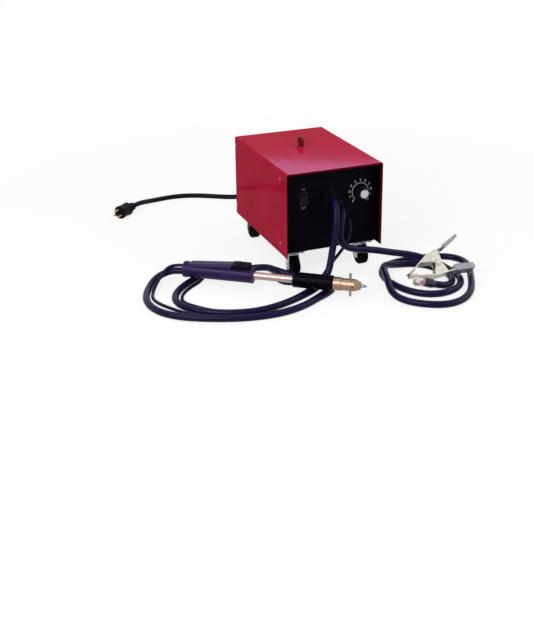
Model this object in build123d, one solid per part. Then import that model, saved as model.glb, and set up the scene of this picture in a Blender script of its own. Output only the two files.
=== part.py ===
from build123d import *
import math
import os

# Dent pulling welder: a wheeled transformer cabinet with a slide-hammer gun and an earth clamp.
# Millimetres, +Z up, the front faces -Y. The origin is on the floor under the cabinet's middle.

# Clearances
hand_gap = 0.3  # between parts that are put together or moved past each other
run_gap = 0.05  # radial, between parts that turn or slide on each other
hole_gap = 0.2  # radial, round screws, bolts and bushes

# Cabinet
cabinet_width = 254.0
cabinet_depth = 362.0
cover_height = 214.0
sheet = 1.5  # cover and panels
pan_sheet = 2.0
bend_radius = 4.0  # outside of the cover's two top bends
front_lip = 5.0  # turned-down edge over the front panel
panel_recess = 33.0  # hood's front edge to the front panel's face
rear_inset = 4.0
edge_flange = 15.0  # depth of the panels' and the pan's turned edges
screw_radius = 2.0
screw_length = 7.0
screw_head_radius = 4.0
screw_head_height = 2.2
screw_inset = 7.0  # panel face to screw axis
screw_low = 28.0  # cover's bottom edge to the lower screws
screw_high = 21.0  # cover's top to the upper screws
vent_count = 9
vent_width = 70.0
vent_height = 4.0
vent_pitch = 11.0
vent_low = 60.0  # cover's bottom edge to the lowest vent

# Casters
wheel_diameter = 50.0
wheel_width = 22.0
wheel_side_gap = 1.0
wheel_top_gap = 3.5
tread_round = 4.0
hub_radius = 9.0
web_recess = 3.0  # depth of the hollow in each face of a wheel
rim_land = 2.0  # flat ring between the hollow and the tread's rounding
axle_radius = 4.0
rivet_radius = 6.0
rivet_height = 2.0
leg_thickness = 2.5
leg_boss_radius = 9.0
leg_half_depth = 15.0  # of the cheeks at their tops
front_leg_back = 13.0  # king pin to the back of the front cheeks' tops
crown_thickness = 3.2
crown_radius = 21.0
kingpin_radius = 5.0
kingpin_head_radius = 8.0
kingpin_head = 2.2
race_height = 2.5
race_radius = 16.0
plate_thickness = 2.5
plate_width = 62.0
plate_length = 46.0
plate_corner = 6.0
plate_bolt_x = 46.0
plate_bolt_y = 30.0
caster_trail = 12.0  # king pin to front wheel's axle
caster_side_setback = 34.0  # cabinet's sides to the king pins
front_caster_setback = 57.0  # hood's front edge to the king pins
rear_caster_setback = 40.0
bolt_radius = 3.0
bolt_head_radius = 5.6
bolt_head_height = 4.0
nut_height = 5.0
bolt_past_nut = 1.5

# Lifting eye
eye_ring_radius = 12.0
eye_bore_radius = 7.0
eye_thickness = 9.0
eye_collar_radius = 10.0
eye_collar_height = 3.5
eye_shank_radius = 5.0
eye_sink = 3.0  # how deep the ring stands in its collar
eye_shank_gap = 1.0  # over the core

# Front panel controls
switch_x = -70.0
switch_height = 137.0  # over the cover's bottom edge
bezel_width = 24.0
bezel_height = 34.0
bezel_thickness = 2.2
bezel_overlap = 2.0  # how far the bezel covers the panel round its hole
switch_depth = 26.0
rocker_width = 16.0
rocker_half_height = 11.5
rocker_middle = 4.5  # pivot to the middle of the rocker's face
rocker_tilt = 12.0  # degrees each way from level
rocker_pin_radius = 1.5
rocker_pin_end = 1.0  # how far each pin end stands out of the rocker
rocker_depth = 3.0  # panel face to the pivot
rocker_back = 4.0  # pivot to the rocker's back
rocker_shoulder = 2.0
dial_x = 82.0
dial_height = 136.0
pot_radius = 12.0
pot_depth = 12.0
bush_radius = 4.5
bush_length = 7.0  # proud of the panel
pot_nut_radius = 7.0
pot_nut_height = 2.5
shaft_radius = 3.0
shaft_seat = 7.0  # how far the shaft runs into the potentiometer
knob_skirt_radius = 15.0
knob_skirt_height = 4.0
knob_radius = 12.0
knob_height = 16.0
knob_lift = 8.5  # panel to the back of the knob
flute_count = 12
flute_radius = 1.6
flute_out = 0.6  # how far the flutes' centres lie outside the knob

# Cable glands on the panels
gun_gland_x = -4.0
gun_gland_height = 138.0
ground_gland_x = 18.0
ground_gland_height = 110.0
control_gland_x = 37.0
control_gland_height = 85.0
cord_gland_x = -60.0
cord_gland_height = 38.0
gland_wall = 3.0
gland_flange = 3.5
gland_flange_height = 4.0
gland_sleeve = 14.0
gland_taper = 1.0  # sleeve thicker than the wall at its foot, thinner at its mouth
cable_inside = 2.0  # how far a cable runs in past its gland
gland_nut_height = 5.0
gland_bore_gap = 0.1

# Transformer and what it feeds
core_y = 34.0
core_width = 150.0
core_stack = 70.0
core_height = 125.0
core_limb = 25.0  # outer limbs and yokes, the middle limb is twice as wide
window_spare = 1.2  # free space beside the two windings in each window
coil_gap = 0.6  # between limb, windings and yokes
frame_sheet = 2.5
frame_depth = 36.0
frame_bar = 8.0  # top bar that the lifting eye screws into
frame_foot = 26.0
foot_bolt_inset = 12.0  # frame's side to the foot bolts
busbar_width = 25.0
busbar_thickness = 6.0
busbar_level = 150.0
busbar_split = 3.0  # between the two bars
contactor_width = 45.0
contactor_depth = 55.0
contactor_height = 62.0
contactor_cap = 12.0  # narrower top over the body
contactor_step = 7.0  # how far the top is set in
contactor_setback = 62.0  # front panel to the contactor
inner_margin = 12.0  # pan's edge to the contactor and the timer board
board_width = 60.0
board_depth = 75.0
board_lift = 14.0
board_thickness = 1.6
board_setback = 25.0  # front panel to the board
post_radius = 3.0
post_inset = 5.0
relay_size = (22.0, 20.0, 18.0)
relay_place = (30.0, 14.0)  # board's right edge and front edge to the relay
capacitor_radius = 7.0
capacitor_height = 22.0
capacitor_place = (44.0, 50.0)
terminal_width = 60.0
terminal_depth = 24.0
terminal_height = 20.0
terminal_count = 4
terminal_setback = 22.0  # rear panel to the terminals
terminal_offset = 10.0  # cord gland's axis to the terminals
terminal_hole_radius = 4.0
terminal_hole_depth = 6.0

# Gun, along its own X from the rear of the handle, with the trigger on +Z
gun_rear_x = -347.5
gun_rear_y = -84.4
gun_height = 36.6
gun_heading = -36.8  # degrees from +X
handle_radius = 19.0
handle_length = 158.0
handle_cavity_radius = 14.6
handle_cavity = 112.0
guard_radius = 19.5
guard_thickness = 8.0
cap_thickness = 10.0
cap_round = 3.0
cap_overlap = 1.0  # how far the cap stands out round the handle
cap_spigot = 8.0
weld_hole_drop = 5.4  # gun axis to the heavy cable's axis
control_hole_rise = 9.6
rod_radius = 9.0
rod_rear = 18.0
rod_depth = 24.6  # inside the chuck
hammer_radius = 18.5
hammer_rear = 263.6
hammer_length = 96.4
hammer_round = 2.5
hammer_groove = 1.2
groove_width = 3.0
groove_inset = 11.5  # hammer's ends to the middles of its grooves
chuck_gap = 0.4
chuck_collar_radius = 16.0
chuck_collar = 19.0
chuck_collar_round = 1.5
chuck_radius = 14.5
chuck_body = 32.0
chuck_nose_radius = 9.0
chuck_nose = 14.0
chuck_bar_radius = 3.0
chuck_bar_length = 58.0
chuck_bar_round = 1.0
chuck_bar_station = 40.0  # back of the chuck to the bar's axis
chuck_hole_radius = 2.5
chuck_hole_station = 47.0  # back of the chuck to its clamping screw's hole
tip_radius = 4.0
tip_depth = 18.4  # inside the chuck
tip_length = 33.0
tip_point = 8.0
tip_end_radius = 1.5
ridge_start = 8.0  # where the handle's raised back begins
ridge_half_width = 15.0
ridge_round = 6.0
ridge_end_height = 27.0  # at the housing
housing_rear = 114.0
housing_half_width = 14.0
housing_top = 28.0
housing_seat = 15.6  # flat on the handle, over the gun's axis
housing_corner = 3.0
housing_round = 2.0
button_station = 131.0
button_radius = 6.5
button_top = 32.0
button_travel = 2.5
button_round = 1.2
stem_radius = 2.0
trigger_switch_length = 24.0
trigger_switch_half_width = 5.0
trigger_switch_low = 10.0
trigger_switch_top = 15.0

# Earth clamp, along its own X from the jaw tips to the handles, jaws meeting on its X-Y plane
clamp_tip_x = 122.7
clamp_tip_y = -332.8
clamp_tip_z = 36.7
clamp_heading = 7.5  # degrees from +X
clamp_rise = 8.7  # degrees, handles up
clamp_roll = -46.8  # degrees about its own X, upper handle leaning away
clamp_pivot_x = 86.0
arm_sheet = 2.5
arm_inner = ((0.0, 2.7), (23.0, 9.0), (65.0, 27.0), (113.0, 31.0), (166.0, 44.0))
jaw_width = 17.0
arm_width = 28.0
handle_width = 24.0
shoulder_x = 45.0  # jaw tips to where an arm has its full width
waist_back = 18.0  # pivot to where the arm starts to narrow to its handle
waist_end = 6.0  # bend of the handle to where it is narrow
ear_sheet = 2.0
ear_radius = 9.0
ear_half_width = 13.0
ear_knee = 7.0  # meeting plane to the bend in an ear's front edge
ear_sink = 1.0  # how far an ear runs into the arm's sheet
upper_ear_front = 38.0  # jaw tips to where the upper arm's ears run out
lower_ear_front = 60.0
lower_ear_inside = 8.0
pivot_radius = 4.0
pivot_head_radius = 6.5
pivot_head_height = 1.8
spring_wire = 2.6
spring_radius = 8.5
spring_pitch = 3.2
spring_leg = 38.5
spring_turns = 3.5
spring_lean = 60.0  # degrees of extra turn at each end, which points the legs at the handles
pad_length = 22.0
pad_width = 14.0
pad_gap = 0.6  # between the two copper pads
pad_tip = 1.0  # jaw tips to the pads
pad_bite = 7.7  # length of the pads' flat faces, from the jaw tips
pad_thickness = 3.0  # behind the bite
grip_start = 118.0
grip_wall = 2.0
upper_grip_depth = 5.0  # inside the handle, at the pivot end
lower_grip_depth = 13.0
grip_taper = 2.5  # depth lost along a grip
grip_round = 3.0
lug_thickness = 3.0
lug_radius = 9.0
lug_neck = 6.5  # half width of the tongue
lug_tongue = 14.0  # bolt to the barrel
lug_barrel_radius = 10.5
lug_barrel_length = 20.0
lug_overlap = 3.0  # tongue on the barrel
lug_floor = 2.0  # closed end of the barrel
lug_bolt_radius = 4.0
lug_bolt_head = 7.0
lug_bolt_head_height = 5.0
lug_bolt_end = 1.0  # thread past the nut
lug_bolt_x = 8.0
lug_bolt_y = -5.0
lug_bolt_drop = 23.0
lug_dip = 35.0  # degrees, barrel down from the clamp's own X

# Cables and the power cord
weld_cable = 17.0
control_cable = 8.0
power_cable = 14.0
cable_lift = 0.2  # under a cable that lies on the floor
coil_x = 70.0
coil_y = 345.0
coil_outer = 82.0
coil_step = 15.0  # radius gained in one turn
coil_layer_gap = 0.6
tie_thickness = 1.2
tie_width = 8.0
tie_gap = 0.5
tie_corner = 3.0
plug_x = -348.0
plug_y = 461.0
plug_heading = 219.6
plug_radius = 19.0
plug_neck_radius = 11.0
plug_neck = 22.0
plug_body = 40.0
plug_neck_end = 15.0  # neck's radius at the body
plug_round = 3.0
plug_lead = 30.0  # straight end of the cord behind the plug
pin_radius = 2.4
pin_length = 19.0
pin_circle = 9.5

# Levels and faces that follow from the sizes
wheel_radius = wheel_diameter / 2
crown_bottom = wheel_diameter + wheel_top_gap
crown_top = crown_bottom + crown_thickness
race_bottom = crown_top + hand_gap
plate_bottom = race_bottom + race_height
base_z = plate_bottom + plate_thickness
pan_top = base_z + pan_sheet
cover_top = base_z + cover_height
side_x = cabinet_width / 2
front_y = -cabinet_depth / 2
rear_y = cabinet_depth / 2
panel_y = front_y + panel_recess
back_y = rear_y - rear_inset
tray_x = side_x - sheet - hand_gap
tray_top = cover_top - sheet - hand_gap
pan_x = tray_x - sheet
caster_x = side_x - caster_side_setback
front_caster_y = front_y + front_caster_setback
rear_caster_y = rear_y - rear_caster_setback
leg_inside = wheel_width / 2 + wheel_side_gap
core_window = core_width / 2 - 2 * core_limb
coil_wall = (core_window - 3 * coil_gap - window_spare) / 2
core_bottom = pan_top + frame_sheet
core_top = core_bottom + core_height
frame_top = core_top + frame_bar
frame_x = core_width / 2 + frame_sheet
foot_bolt_x = frame_x + foot_bolt_inset
weld_radius = weld_cable / 2
control_radius = control_cable / 2
power_radius = power_cable / 2
hammer_front = hammer_rear + hammer_length
guard_front = handle_length + guard_thickness
chuck_rear = hammer_front + chuck_gap
chuck_front = chuck_rear + chuck_collar + chuck_body + chuck_nose
rod_front = chuck_rear + rod_depth
tip_rear = chuck_front - tip_depth
tip_front = tip_rear + tip_length
upper_ear_inside = lower_ear_inside + ear_sheet + hand_gap
clamp_half = upper_ear_inside + ear_sheet
coil_low = power_radius + tie_thickness + tie_gap
coil_high = coil_low + power_cable + coil_layer_gap
coil_inner = coil_outer - 1.5 * coil_step
gun_place = Pos(gun_rear_x, gun_rear_y, gun_height) * Rot(0, 0, gun_heading)
clamp_place = (
    Pos(clamp_tip_x, clamp_tip_y, clamp_tip_z)
    * Rot(0, 0, clamp_heading)
    * Rot(0, -clamp_rise, 0)
    * Rot(clamp_roll, 0, 0)
)
lug_place = Pos(lug_bolt_x, lug_bolt_y, -lug_bolt_drop) * Rot(0, lug_dip - 180, 0)
past = 5.0  # how far a cutting tool runs past what it cuts


def block(x0, x1, y0, y1, z0, z1):
    return Pos((x0 + x1) / 2, (y0 + y1) / 2, (z0 + z1) / 2) * Box(x1 - x0, y1 - y0, z1 - z0)


def disc(start, direction, radius, length):
    frame = Plane(origin=start, z_dir=direction).location
    return frame * Cylinder(radius, length, align=(Align.CENTER, Align.CENTER, Align.MIN))


def taper(start, direction, radius, end_radius, length):
    frame = Plane(origin=start, z_dir=direction).location
    return frame * Cone(radius, end_radius, length, align=(Align.CENTER, Align.CENTER, Align.MIN))


def hexagon(start, direction, radius, length):
    frame = Plane(origin=start, z_dir=direction).location
    return frame * extrude(RegularPolygon(radius, 6), length)


def group(pieces):
    return Compound(children=list(pieces))


def side_screws():
    # Where the cover is screwed to the turned edges of both panels, as (side, y, z).
    heights = (base_z + screw_low, cover_top - screw_high)
    rows = (panel_y + screw_inset, back_y - screw_inset)
    return [(side, y, z) for side in (-1, 1) for y in rows for z in heights]


def caster_bolts():
    centres = [(x, y) for x in (-caster_x, caster_x) for y in (front_caster_y, rear_caster_y)]
    half_x = plate_bolt_x / 2
    half_y = plate_bolt_y / 2
    return [(x + a, y + b) for x, y in centres for a in (-half_x, half_x) for b in (-half_y, half_y)]


def foot_bolts():
    half = frame_depth / 4
    return [(x, core_y + b) for x in (-foot_bolt_x, foot_bolt_x) for b in (-half, half)]


def glands():
    # Panel glands by node: place on the panel's outer face, outward direction, cable radius.
    return {
        "gun_cable_gland": ((gun_gland_x, panel_y, base_z + gun_gland_height), -1, weld_radius),
        "ground_cable_gland": ((ground_gland_x, panel_y, base_z + ground_gland_height), -1, weld_radius),
        "control_cable_gland": (
            (control_gland_x, panel_y, base_z + control_gland_height),
            -1,
            control_radius,
        ),
        "power_cord_gland": ((cord_gland_x, back_y, base_z + cord_gland_height), 1, power_radius),
    }


def cabinet_cover():
    # One sheet bent over the top and both sides, open in front, behind and below.
    outer = block(-side_x, side_x, front_y, rear_y, base_z, cover_top)
    outer = fillet(outer.edges().filter_by(Axis.Y).group_by(Axis.Z)[-1], bend_radius)
    inner_x = side_x - sheet
    inner = block(-inner_x, inner_x, front_y - past, rear_y + past, base_z - past, cover_top - sheet)
    inner = fillet(inner.edges().filter_by(Axis.Y).group_by(Axis.Z)[-1], bend_radius - sheet)
    cover = outer - inner
    cover += block(-inner_x, inner_x, front_y, front_y + sheet, cover_top - front_lip, cover_top - sheet / 2)
    for side, y, z in side_screws():
        cover -= disc((side * (inner_x - past), y, z), (side, 0, 0), screw_radius + hole_gap, 3 * past)
    cover -= disc((0, core_y, cover_top - past), (0, 0, 1), eye_shank_radius + hole_gap, 2 * past)
    return cover


def panel_tray(face_y, inward):
    # Flat panel with its sides and top turned inwards, and its screw and gland holes.
    rim_y = face_y + inward * edge_flange
    skin_y = face_y + inward * sheet
    far_y = rim_y + inward * past
    tray = block(-tray_x, tray_x, min(face_y, rim_y), max(face_y, rim_y), base_z, tray_top)
    tray = fillet(tray.edges().filter_by(Axis.Y).group_by(Axis.Z)[-1], bend_radius)
    inner_x = tray_x - sheet
    tray -= block(-inner_x, inner_x, min(skin_y, far_y), max(skin_y, far_y), base_z - past, tray_top - sheet)
    for side, y, z in side_screws():
        tray -= disc((side * (inner_x - past), y, z), (side, 0, 0), screw_radius + hole_gap, 3 * past)
    for place, outward, radius in glands().values():
        if outward == -inward:
            start = (place[0], place[1] + outward * past, place[2])
            tray -= disc(start, (0, -outward, 0), radius + gland_wall + hole_gap, 2 * past)
    return tray


def front_panel():
    panel = panel_tray(panel_y, 1)
    half_x = bezel_width / 2 - bezel_overlap + hole_gap
    half_z = bezel_height / 2 - bezel_overlap + hole_gap
    z = base_z + switch_height
    panel -= Pos(switch_x, panel_y, z) * Box(2 * half_x, 2 * past, 2 * half_z)
    start = (dial_x, panel_y - past, base_z + dial_height)
    panel -= disc(start, (0, 1, 0), bush_radius + hole_gap, 2 * past)
    return panel


def rear_panel():
    panel = panel_tray(back_y, -1)
    for i in range(vent_count):
        z = base_z + vent_low + i * vent_pitch
        panel -= block(-vent_width / 2, vent_width / 2, back_y - past, back_y + past, z, z + vent_height)
    return panel


def base_pan():
    # Floor of the cabinet between the panels, with all four edges turned up.
    y0 = panel_y + sheet
    y1 = back_y - sheet
    pan = block(-pan_x, pan_x, y0, y1, base_z, base_z + edge_flange)
    t = pan_sheet
    pan -= block(-pan_x + t, pan_x - t, y0 + t, y1 - t, pan_top, base_z + edge_flange + past)
    for x, y in caster_bolts() + foot_bolts():
        pan -= disc((x, y, base_z - past), (0, 0, 1), bolt_radius + hole_gap, 2 * past)
    for place, outward, radius in glands().values():
        start = (place[0], place[1] + outward * past, place[2])
        pan -= disc(start, (0, -outward, 0), radius + gland_wall + gland_flange + 1, 4 * past)
    return pan


def cabinet_screws():
    screws = []
    for side, y, z in side_screws():
        out = (side, 0, 0)
        head = disc((side * side_x, y, z), out, screw_head_radius, screw_head_height)
        head = fillet(head.edges().sort_by(Axis.X)[-1 if side > 0 else 0], screw_head_height * 0.6)
        shank = disc((side * (side_x - screw_length), y, z), out, screw_radius, screw_length)
        slot = block(-past, past, y - screw_head_radius, y + screw_head_radius, z - 0.5, z + 0.5)
        slot = Pos(side * (side_x + screw_head_height - 0.9 + past), 0, 0) * slot
        screws.append(head + shank - slot)
    return group(screws)


def lifting_eye():
    ring_z = cover_top + eye_collar_height + eye_ring_radius - eye_sink
    half = eye_thickness / 2
    ring = disc((-half, core_y, ring_z), (1, 0, 0), eye_ring_radius, eye_thickness)
    ring = fillet(ring.edges().filter_by(GeomType.CIRCLE), half * 0.5)
    collar = disc((0, core_y, cover_top), (0, 0, 1), eye_collar_radius, eye_collar_height)
    eye = ring + collar
    eye -= disc((-half - past, core_y, ring_z), (1, 0, 0), eye_bore_radius, eye_thickness + 2 * past)
    low = core_top + eye_shank_gap
    return eye + disc((0, core_y, low), (0, 0, 1), eye_shank_radius, cover_top + eye_shank_gap - low)


def fork_leg(x, wheel_y, top_z, top_back, top_front):
    # Flat cheek from the crown or plate down to the round boss that holds the axle.
    corners = [
        (top_back, top_z),
        (top_front, top_z),
        (wheel_y - leg_boss_radius * 0.98, wheel_radius),
        (wheel_y + leg_boss_radius * 0.98, wheel_radius),
    ]
    cheek = Plane.YZ.offset(x) * make_face(Polyline(*corners, close=True))
    boss = disc((x, wheel_y, wheel_radius), (1, 0, 0), leg_boss_radius, leg_thickness)
    return extrude(cheek, leg_thickness) + boss


def fork_legs(x, wheel_y, top_z, top_back, top_front):
    # Both cheeks and the axle riveted through them.
    legs = fork_leg(x + leg_inside, wheel_y, top_z, top_back, top_front)
    legs += fork_leg(x - leg_inside - leg_thickness, wheel_y, top_z, top_back, top_front)
    outside = leg_inside + leg_thickness
    legs += disc((x - outside, wheel_y, wheel_radius), (1, 0, 0), axle_radius, 2 * outside)
    for side in (-1, 1):
        legs += disc((x + side * outside, wheel_y, wheel_radius), (side, 0, 0), rivet_radius, rivet_height)
    return legs


def front_fork(x):
    y = front_caster_y
    crown = disc((x, y, crown_bottom), (0, 0, 1), crown_radius, crown_thickness)
    fork = crown + fork_legs(x, y - caster_trail, crown_top, y + front_leg_back, y - leg_half_depth)
    return fork - disc((x, y, crown_bottom - past), (0, 0, 1), kingpin_radius + run_gap, 3 * past)


def caster_plate(x, y):
    half_x = plate_width / 2
    half_y = plate_length / 2
    plate = block(x - half_x, x + half_x, y - half_y, y + half_y, plate_bottom, base_z)
    plate = fillet(plate.edges().filter_by(Axis.Z), plate_corner)
    for bolt_x, bolt_y in caster_bolts():
        plate -= disc((bolt_x, bolt_y, plate_bottom - past), (0, 0, 1), bolt_radius + hole_gap, 3 * past)
    return plate


def front_caster_plates():
    plates = []
    for x in (-caster_x, caster_x):
        y = front_caster_y
        plate = caster_plate(x, y)
        plate += disc((x, y, race_bottom), (0, 0, 1), race_radius, race_height)
        head_top = crown_bottom - hand_gap
        plate += disc((x, y, head_top), (0, 0, 1), kingpin_radius, race_bottom - head_top)
        plate += disc((x, y, head_top - kingpin_head), (0, 0, 1), kingpin_head_radius, kingpin_head)
        plates.append(plate)
    return group(plates)


def rear_caster_forks():
    y = rear_caster_y
    forks = []
    for x in (-caster_x, caster_x):
        legs = fork_legs(x, y, plate_bottom, y + leg_half_depth, y - leg_half_depth)
        forks.append(caster_plate(x, y) + legs)
    return group(forks)


def wheel(x, y):
    half = wheel_width / 2
    body = disc((x - half, y, wheel_radius), (1, 0, 0), wheel_radius, wheel_width)
    body = fillet(body.edges().filter_by(GeomType.CIRCLE), tread_round)
    for side in (-1, 1):
        start = (x + side * (half - web_recess), y, wheel_radius)
        hollow = disc(start, (side, 0, 0), wheel_radius - tread_round - rim_land, past)
        body -= hollow - disc(start, (side, 0, 0), hub_radius, past)
    return body - disc((x - wheel_width, y, wheel_radius), (1, 0, 0), axle_radius + run_gap, 2 * wheel_width)


def frame_bolt(x, y, clamped_from, grip):
    # Hexagon bolt from below, with its nut on top of what it clamps.
    bolt = hexagon((x, y, clamped_from - bolt_head_height), (0, 0, 1), bolt_head_radius, bolt_head_height)
    bolt += disc((x, y, clamped_from), (0, 0, 1), bolt_radius, grip + nut_height + bolt_past_nut)
    return bolt + hexagon((x, y, clamped_from + grip), (0, 0, 1), bolt_head_radius, nut_height)


def frame_bolts():
    bolts = [frame_bolt(x, y, plate_bottom, plate_thickness + pan_sheet) for x, y in caster_bolts()]
    bolts += [frame_bolt(x, y, base_z, pan_sheet + frame_sheet) for x, y in foot_bolts()]
    return group(bolts)


def rocker_pivot():
    return (switch_x, panel_y + rocker_depth, base_z + switch_height)


def rocker_reach():
    end = rocker_middle + rocker_half_height * math.tan(math.radians(rocker_tilt))
    return math.hypot(rocker_half_height, end)


def power_switch_body():
    # Snap-in rocker switch: bezel in front of the panel, housing behind it.
    x, pivot_y, z = rocker_pivot()
    half_x = bezel_width / 2
    half_z = bezel_height / 2
    bezel = block(x - half_x, x + half_x, panel_y - bezel_thickness, panel_y, z - half_z, z + half_z)
    bezel = chamfer(bezel.faces().sort_by(Axis.Y)[0].edges(), bezel_thickness * 0.4)
    in_x = half_x - bezel_overlap
    in_z = half_z - bezel_overlap
    body = bezel + block(x - in_x, x + in_x, panel_y, panel_y + switch_depth, z - in_z, z + in_z)
    half = rocker_width / 2 + hand_gap
    body -= disc((x - half, pivot_y, z), (1, 0, 0), rocker_reach() + hand_gap, 2 * half)
    pin = rocker_width / 2 + rocker_pin_end + hole_gap
    return body - disc((x - pin, pivot_y, z), (1, 0, 0), rocker_pin_radius + run_gap, 2 * pin)


def power_rocker():
    # Two shallow facets that meet over the pivot, shown with its lower end (off) pressed in.
    x, y, z = rocker_pivot()
    end = rocker_middle + rocker_half_height * math.tan(math.radians(rocker_tilt))
    h = rocker_half_height
    back = [(-rocker_shoulder, h), (rocker_back, h * 0.7), (rocker_back, -h * 0.7), (-rocker_shoulder, -h)]
    outline = [(-end, -h), (-rocker_middle, 0), (-end, h)] + back
    face = Plane.YZ.offset(-rocker_width / 2) * make_face(Polyline(*outline, close=True))
    rocker = extrude(face, rocker_width)
    pin = rocker_width / 2 + rocker_pin_end
    rocker += disc((-pin, 0, 0), (1, 0, 0), rocker_pin_radius, 2 * pin)
    return Pos(x, y, z) * Rot(rocker_tilt, 0, 0) * rocker


def timer_pot():
    place_z = base_z + dial_height
    pot = disc((dial_x, panel_y + sheet, place_z), (0, 1, 0), pot_radius, pot_depth)
    pot += disc((dial_x, panel_y + sheet, place_z), (0, -1, 0), bush_radius, sheet + bush_length)
    pot += hexagon((dial_x, panel_y, place_z), (0, -1, 0), pot_nut_radius, pot_nut_height)
    front = (dial_x, panel_y - bush_length - past, place_z)
    bore = past + bush_length + sheet + shaft_seat + hand_gap
    return pot - disc(front, (0, 1, 0), shaft_radius + run_gap, bore)


def timer_knob():
    # Fluted knob on its shaft, with a wide skirt that carries the pointer.
    z = base_z + dial_height
    back = panel_y - knob_lift
    flutes = PolarLocations(knob_radius + flute_out, flute_count) * Circle(flute_radius)
    section = Circle(knob_radius) - flutes
    grip = extrude(section, knob_height - knob_skirt_height / 2)
    skirt = disc((dial_x, back, z), (0, -1, 0), knob_skirt_radius, knob_skirt_height)
    foot = (dial_x, back - knob_skirt_height / 2, z)
    knob = skirt + Plane(origin=foot, z_dir=(0, -1, 0)).location * grip
    shaft_end = panel_y + sheet + shaft_seat
    return knob + disc((dial_x, shaft_end, z), (0, -1, 0), shaft_radius, shaft_end - back + 2)


def gland(place, outward, cable_radius):
    # Flange and tapered sleeve outside the panel, nut inside it.
    x, y, z = place
    out = (0, outward, 0)
    body_radius = cable_radius + gland_wall
    inside = y - outward * (sheet + gland_nut_height)
    piece = disc((x, inside, z), out, body_radius, sheet + gland_nut_height)
    piece += hexagon((x, inside, z), out, body_radius + gland_flange, gland_nut_height)
    piece += disc(place, out, body_radius + gland_flange, gland_flange_height)
    sleeve = (x, y + outward * gland_flange_height, z)
    piece += taper(sleeve, out, body_radius + gland_taper, body_radius - gland_taper, gland_sleeve)
    start = (x, inside - outward * past, z)
    length = sheet + gland_nut_height + gland_flange_height + gland_sleeve + 2 * past
    return piece - disc(start, out, cable_radius + gland_bore_gap, length)


def transformer_core():
    x = core_width / 2
    y = core_stack / 2
    core = block(-x, x, core_y - y, core_y + y, core_bottom, core_top)
    for side in (-1, 1):
        x0, x1 = sorted((side * core_limb, side * (core_limb + core_window)))
        z0, z1 = core_bottom + core_limb, core_top - core_limb
        core -= block(x0, x1, core_y - y - past, core_y + y + past, z0, z1)
    return core


def winding(layer):
    # Rectangular ring round the core's middle limb, layer 0 next to the iron.
    grow = coil_gap + layer * (coil_wall + coil_gap)
    in_x = core_limb + grow
    in_y = core_stack / 2 + grow
    z0 = core_bottom + core_limb + coil_gap
    z1 = core_top - core_limb - coil_gap
    ox = in_x + coil_wall
    oy = in_y + coil_wall
    ring = block(-ox, ox, core_y - oy, core_y + oy, z0, z1)
    ring = fillet(ring.edges().filter_by(Axis.Z), coil_wall * 0.8)
    return ring - block(-in_x, in_x, core_y - in_y, core_y + in_y, z0 - past, z1 + past)


def core_frame():
    # Steel strap round the core, with feet on the pan and a thick top bar for the lifting eye.
    y0 = core_y - frame_depth / 2
    y1 = core_y + frame_depth / 2
    x = core_width / 2
    frame = block(-frame_x, frame_x, y0, y1, pan_top, frame_top)
    frame -= block(-x, x, y0 - past, y1 + past, core_bottom, core_top)
    foot_x = frame_x + frame_foot
    feet = block(-foot_x, foot_x, y0, y1, pan_top, core_bottom)
    for bolt_x, bolt_y in foot_bolts():
        feet -= disc((bolt_x, bolt_y, pan_top - past), (0, 0, 1), bolt_radius + hole_gap, 3 * past)
    return frame + feet - disc((0, core_y, core_top - past), (0, 0, 1), eye_shank_radius + run_gap, 4 * past)


def busbar(inner_x, side, tab_top):
    # Flat bar from the secondary winding forwards, then up behind the cable's gland.
    x0, x1 = sorted((inner_x, inner_x + side * busbar_width))
    winding_face = core_y - core_stack / 2 - 2 * (coil_gap + coil_wall)
    tab_y = panel_y + sheet + gland_nut_height + cable_inside
    low = busbar_level
    bar = block(x0, x1, tab_y, winding_face, low, low + busbar_thickness)
    return bar + block(x0, x1, tab_y, tab_y + busbar_thickness, low, tab_top)


def primary_contactor():
    x = -pan_x + inner_margin + contactor_width / 2
    y = panel_y + contactor_setback + contactor_depth / 2
    seat = (Align.CENTER, Align.CENTER, Align.MIN)
    body = Box(contactor_width, contactor_depth, contactor_height, align=seat)
    full = contactor_height + contactor_cap
    body += Box(contactor_width - 2 * contactor_step, contactor_depth - 2 * contactor_step, full, align=seat)
    return Pos(x, y, pan_top) * body


def timer_board():
    x1 = pan_x - inner_margin
    y0 = panel_y + board_setback
    z = pan_top + board_lift
    board = block(x1 - board_width, x1, y0, y0 + board_depth, z, z + board_thickness)
    for x in (x1 - board_width + post_inset, x1 - post_inset):
        for y in (y0 + post_inset, y0 + board_depth - post_inset):
            board += disc((x, y, pan_top), (0, 0, 1), post_radius, board_lift)
    corner = Pos(x1 - relay_place[0], y0 + relay_place[1], z)
    board += corner * Box(*relay_size, align=(Align.MIN, Align.MIN, Align.MIN))
    foot = (x1 - capacitor_place[0], y0 + capacitor_place[1], z)
    return board + disc(foot, (0, 0, 1), capacitor_radius, capacitor_height)


def terminal_block():
    x0 = cord_gland_x + terminal_offset
    y1 = back_y - terminal_setback
    strip = block(x0, x0 + terminal_width, y1 - terminal_depth, y1, pan_top, pan_top + terminal_height)
    hole_z = pan_top + terminal_height - terminal_hole_depth
    for i in range(terminal_count):
        x = x0 + terminal_width * (i + 0.5) / terminal_count
        strip -= disc((x, y1 - terminal_depth / 2, hole_z), (0, 0, 1), terminal_hole_radius, 2 * past)
    return strip


def gun_disc(start, radius, length):
    return disc((start, 0, 0), (1, 0, 0), radius, length)


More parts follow.
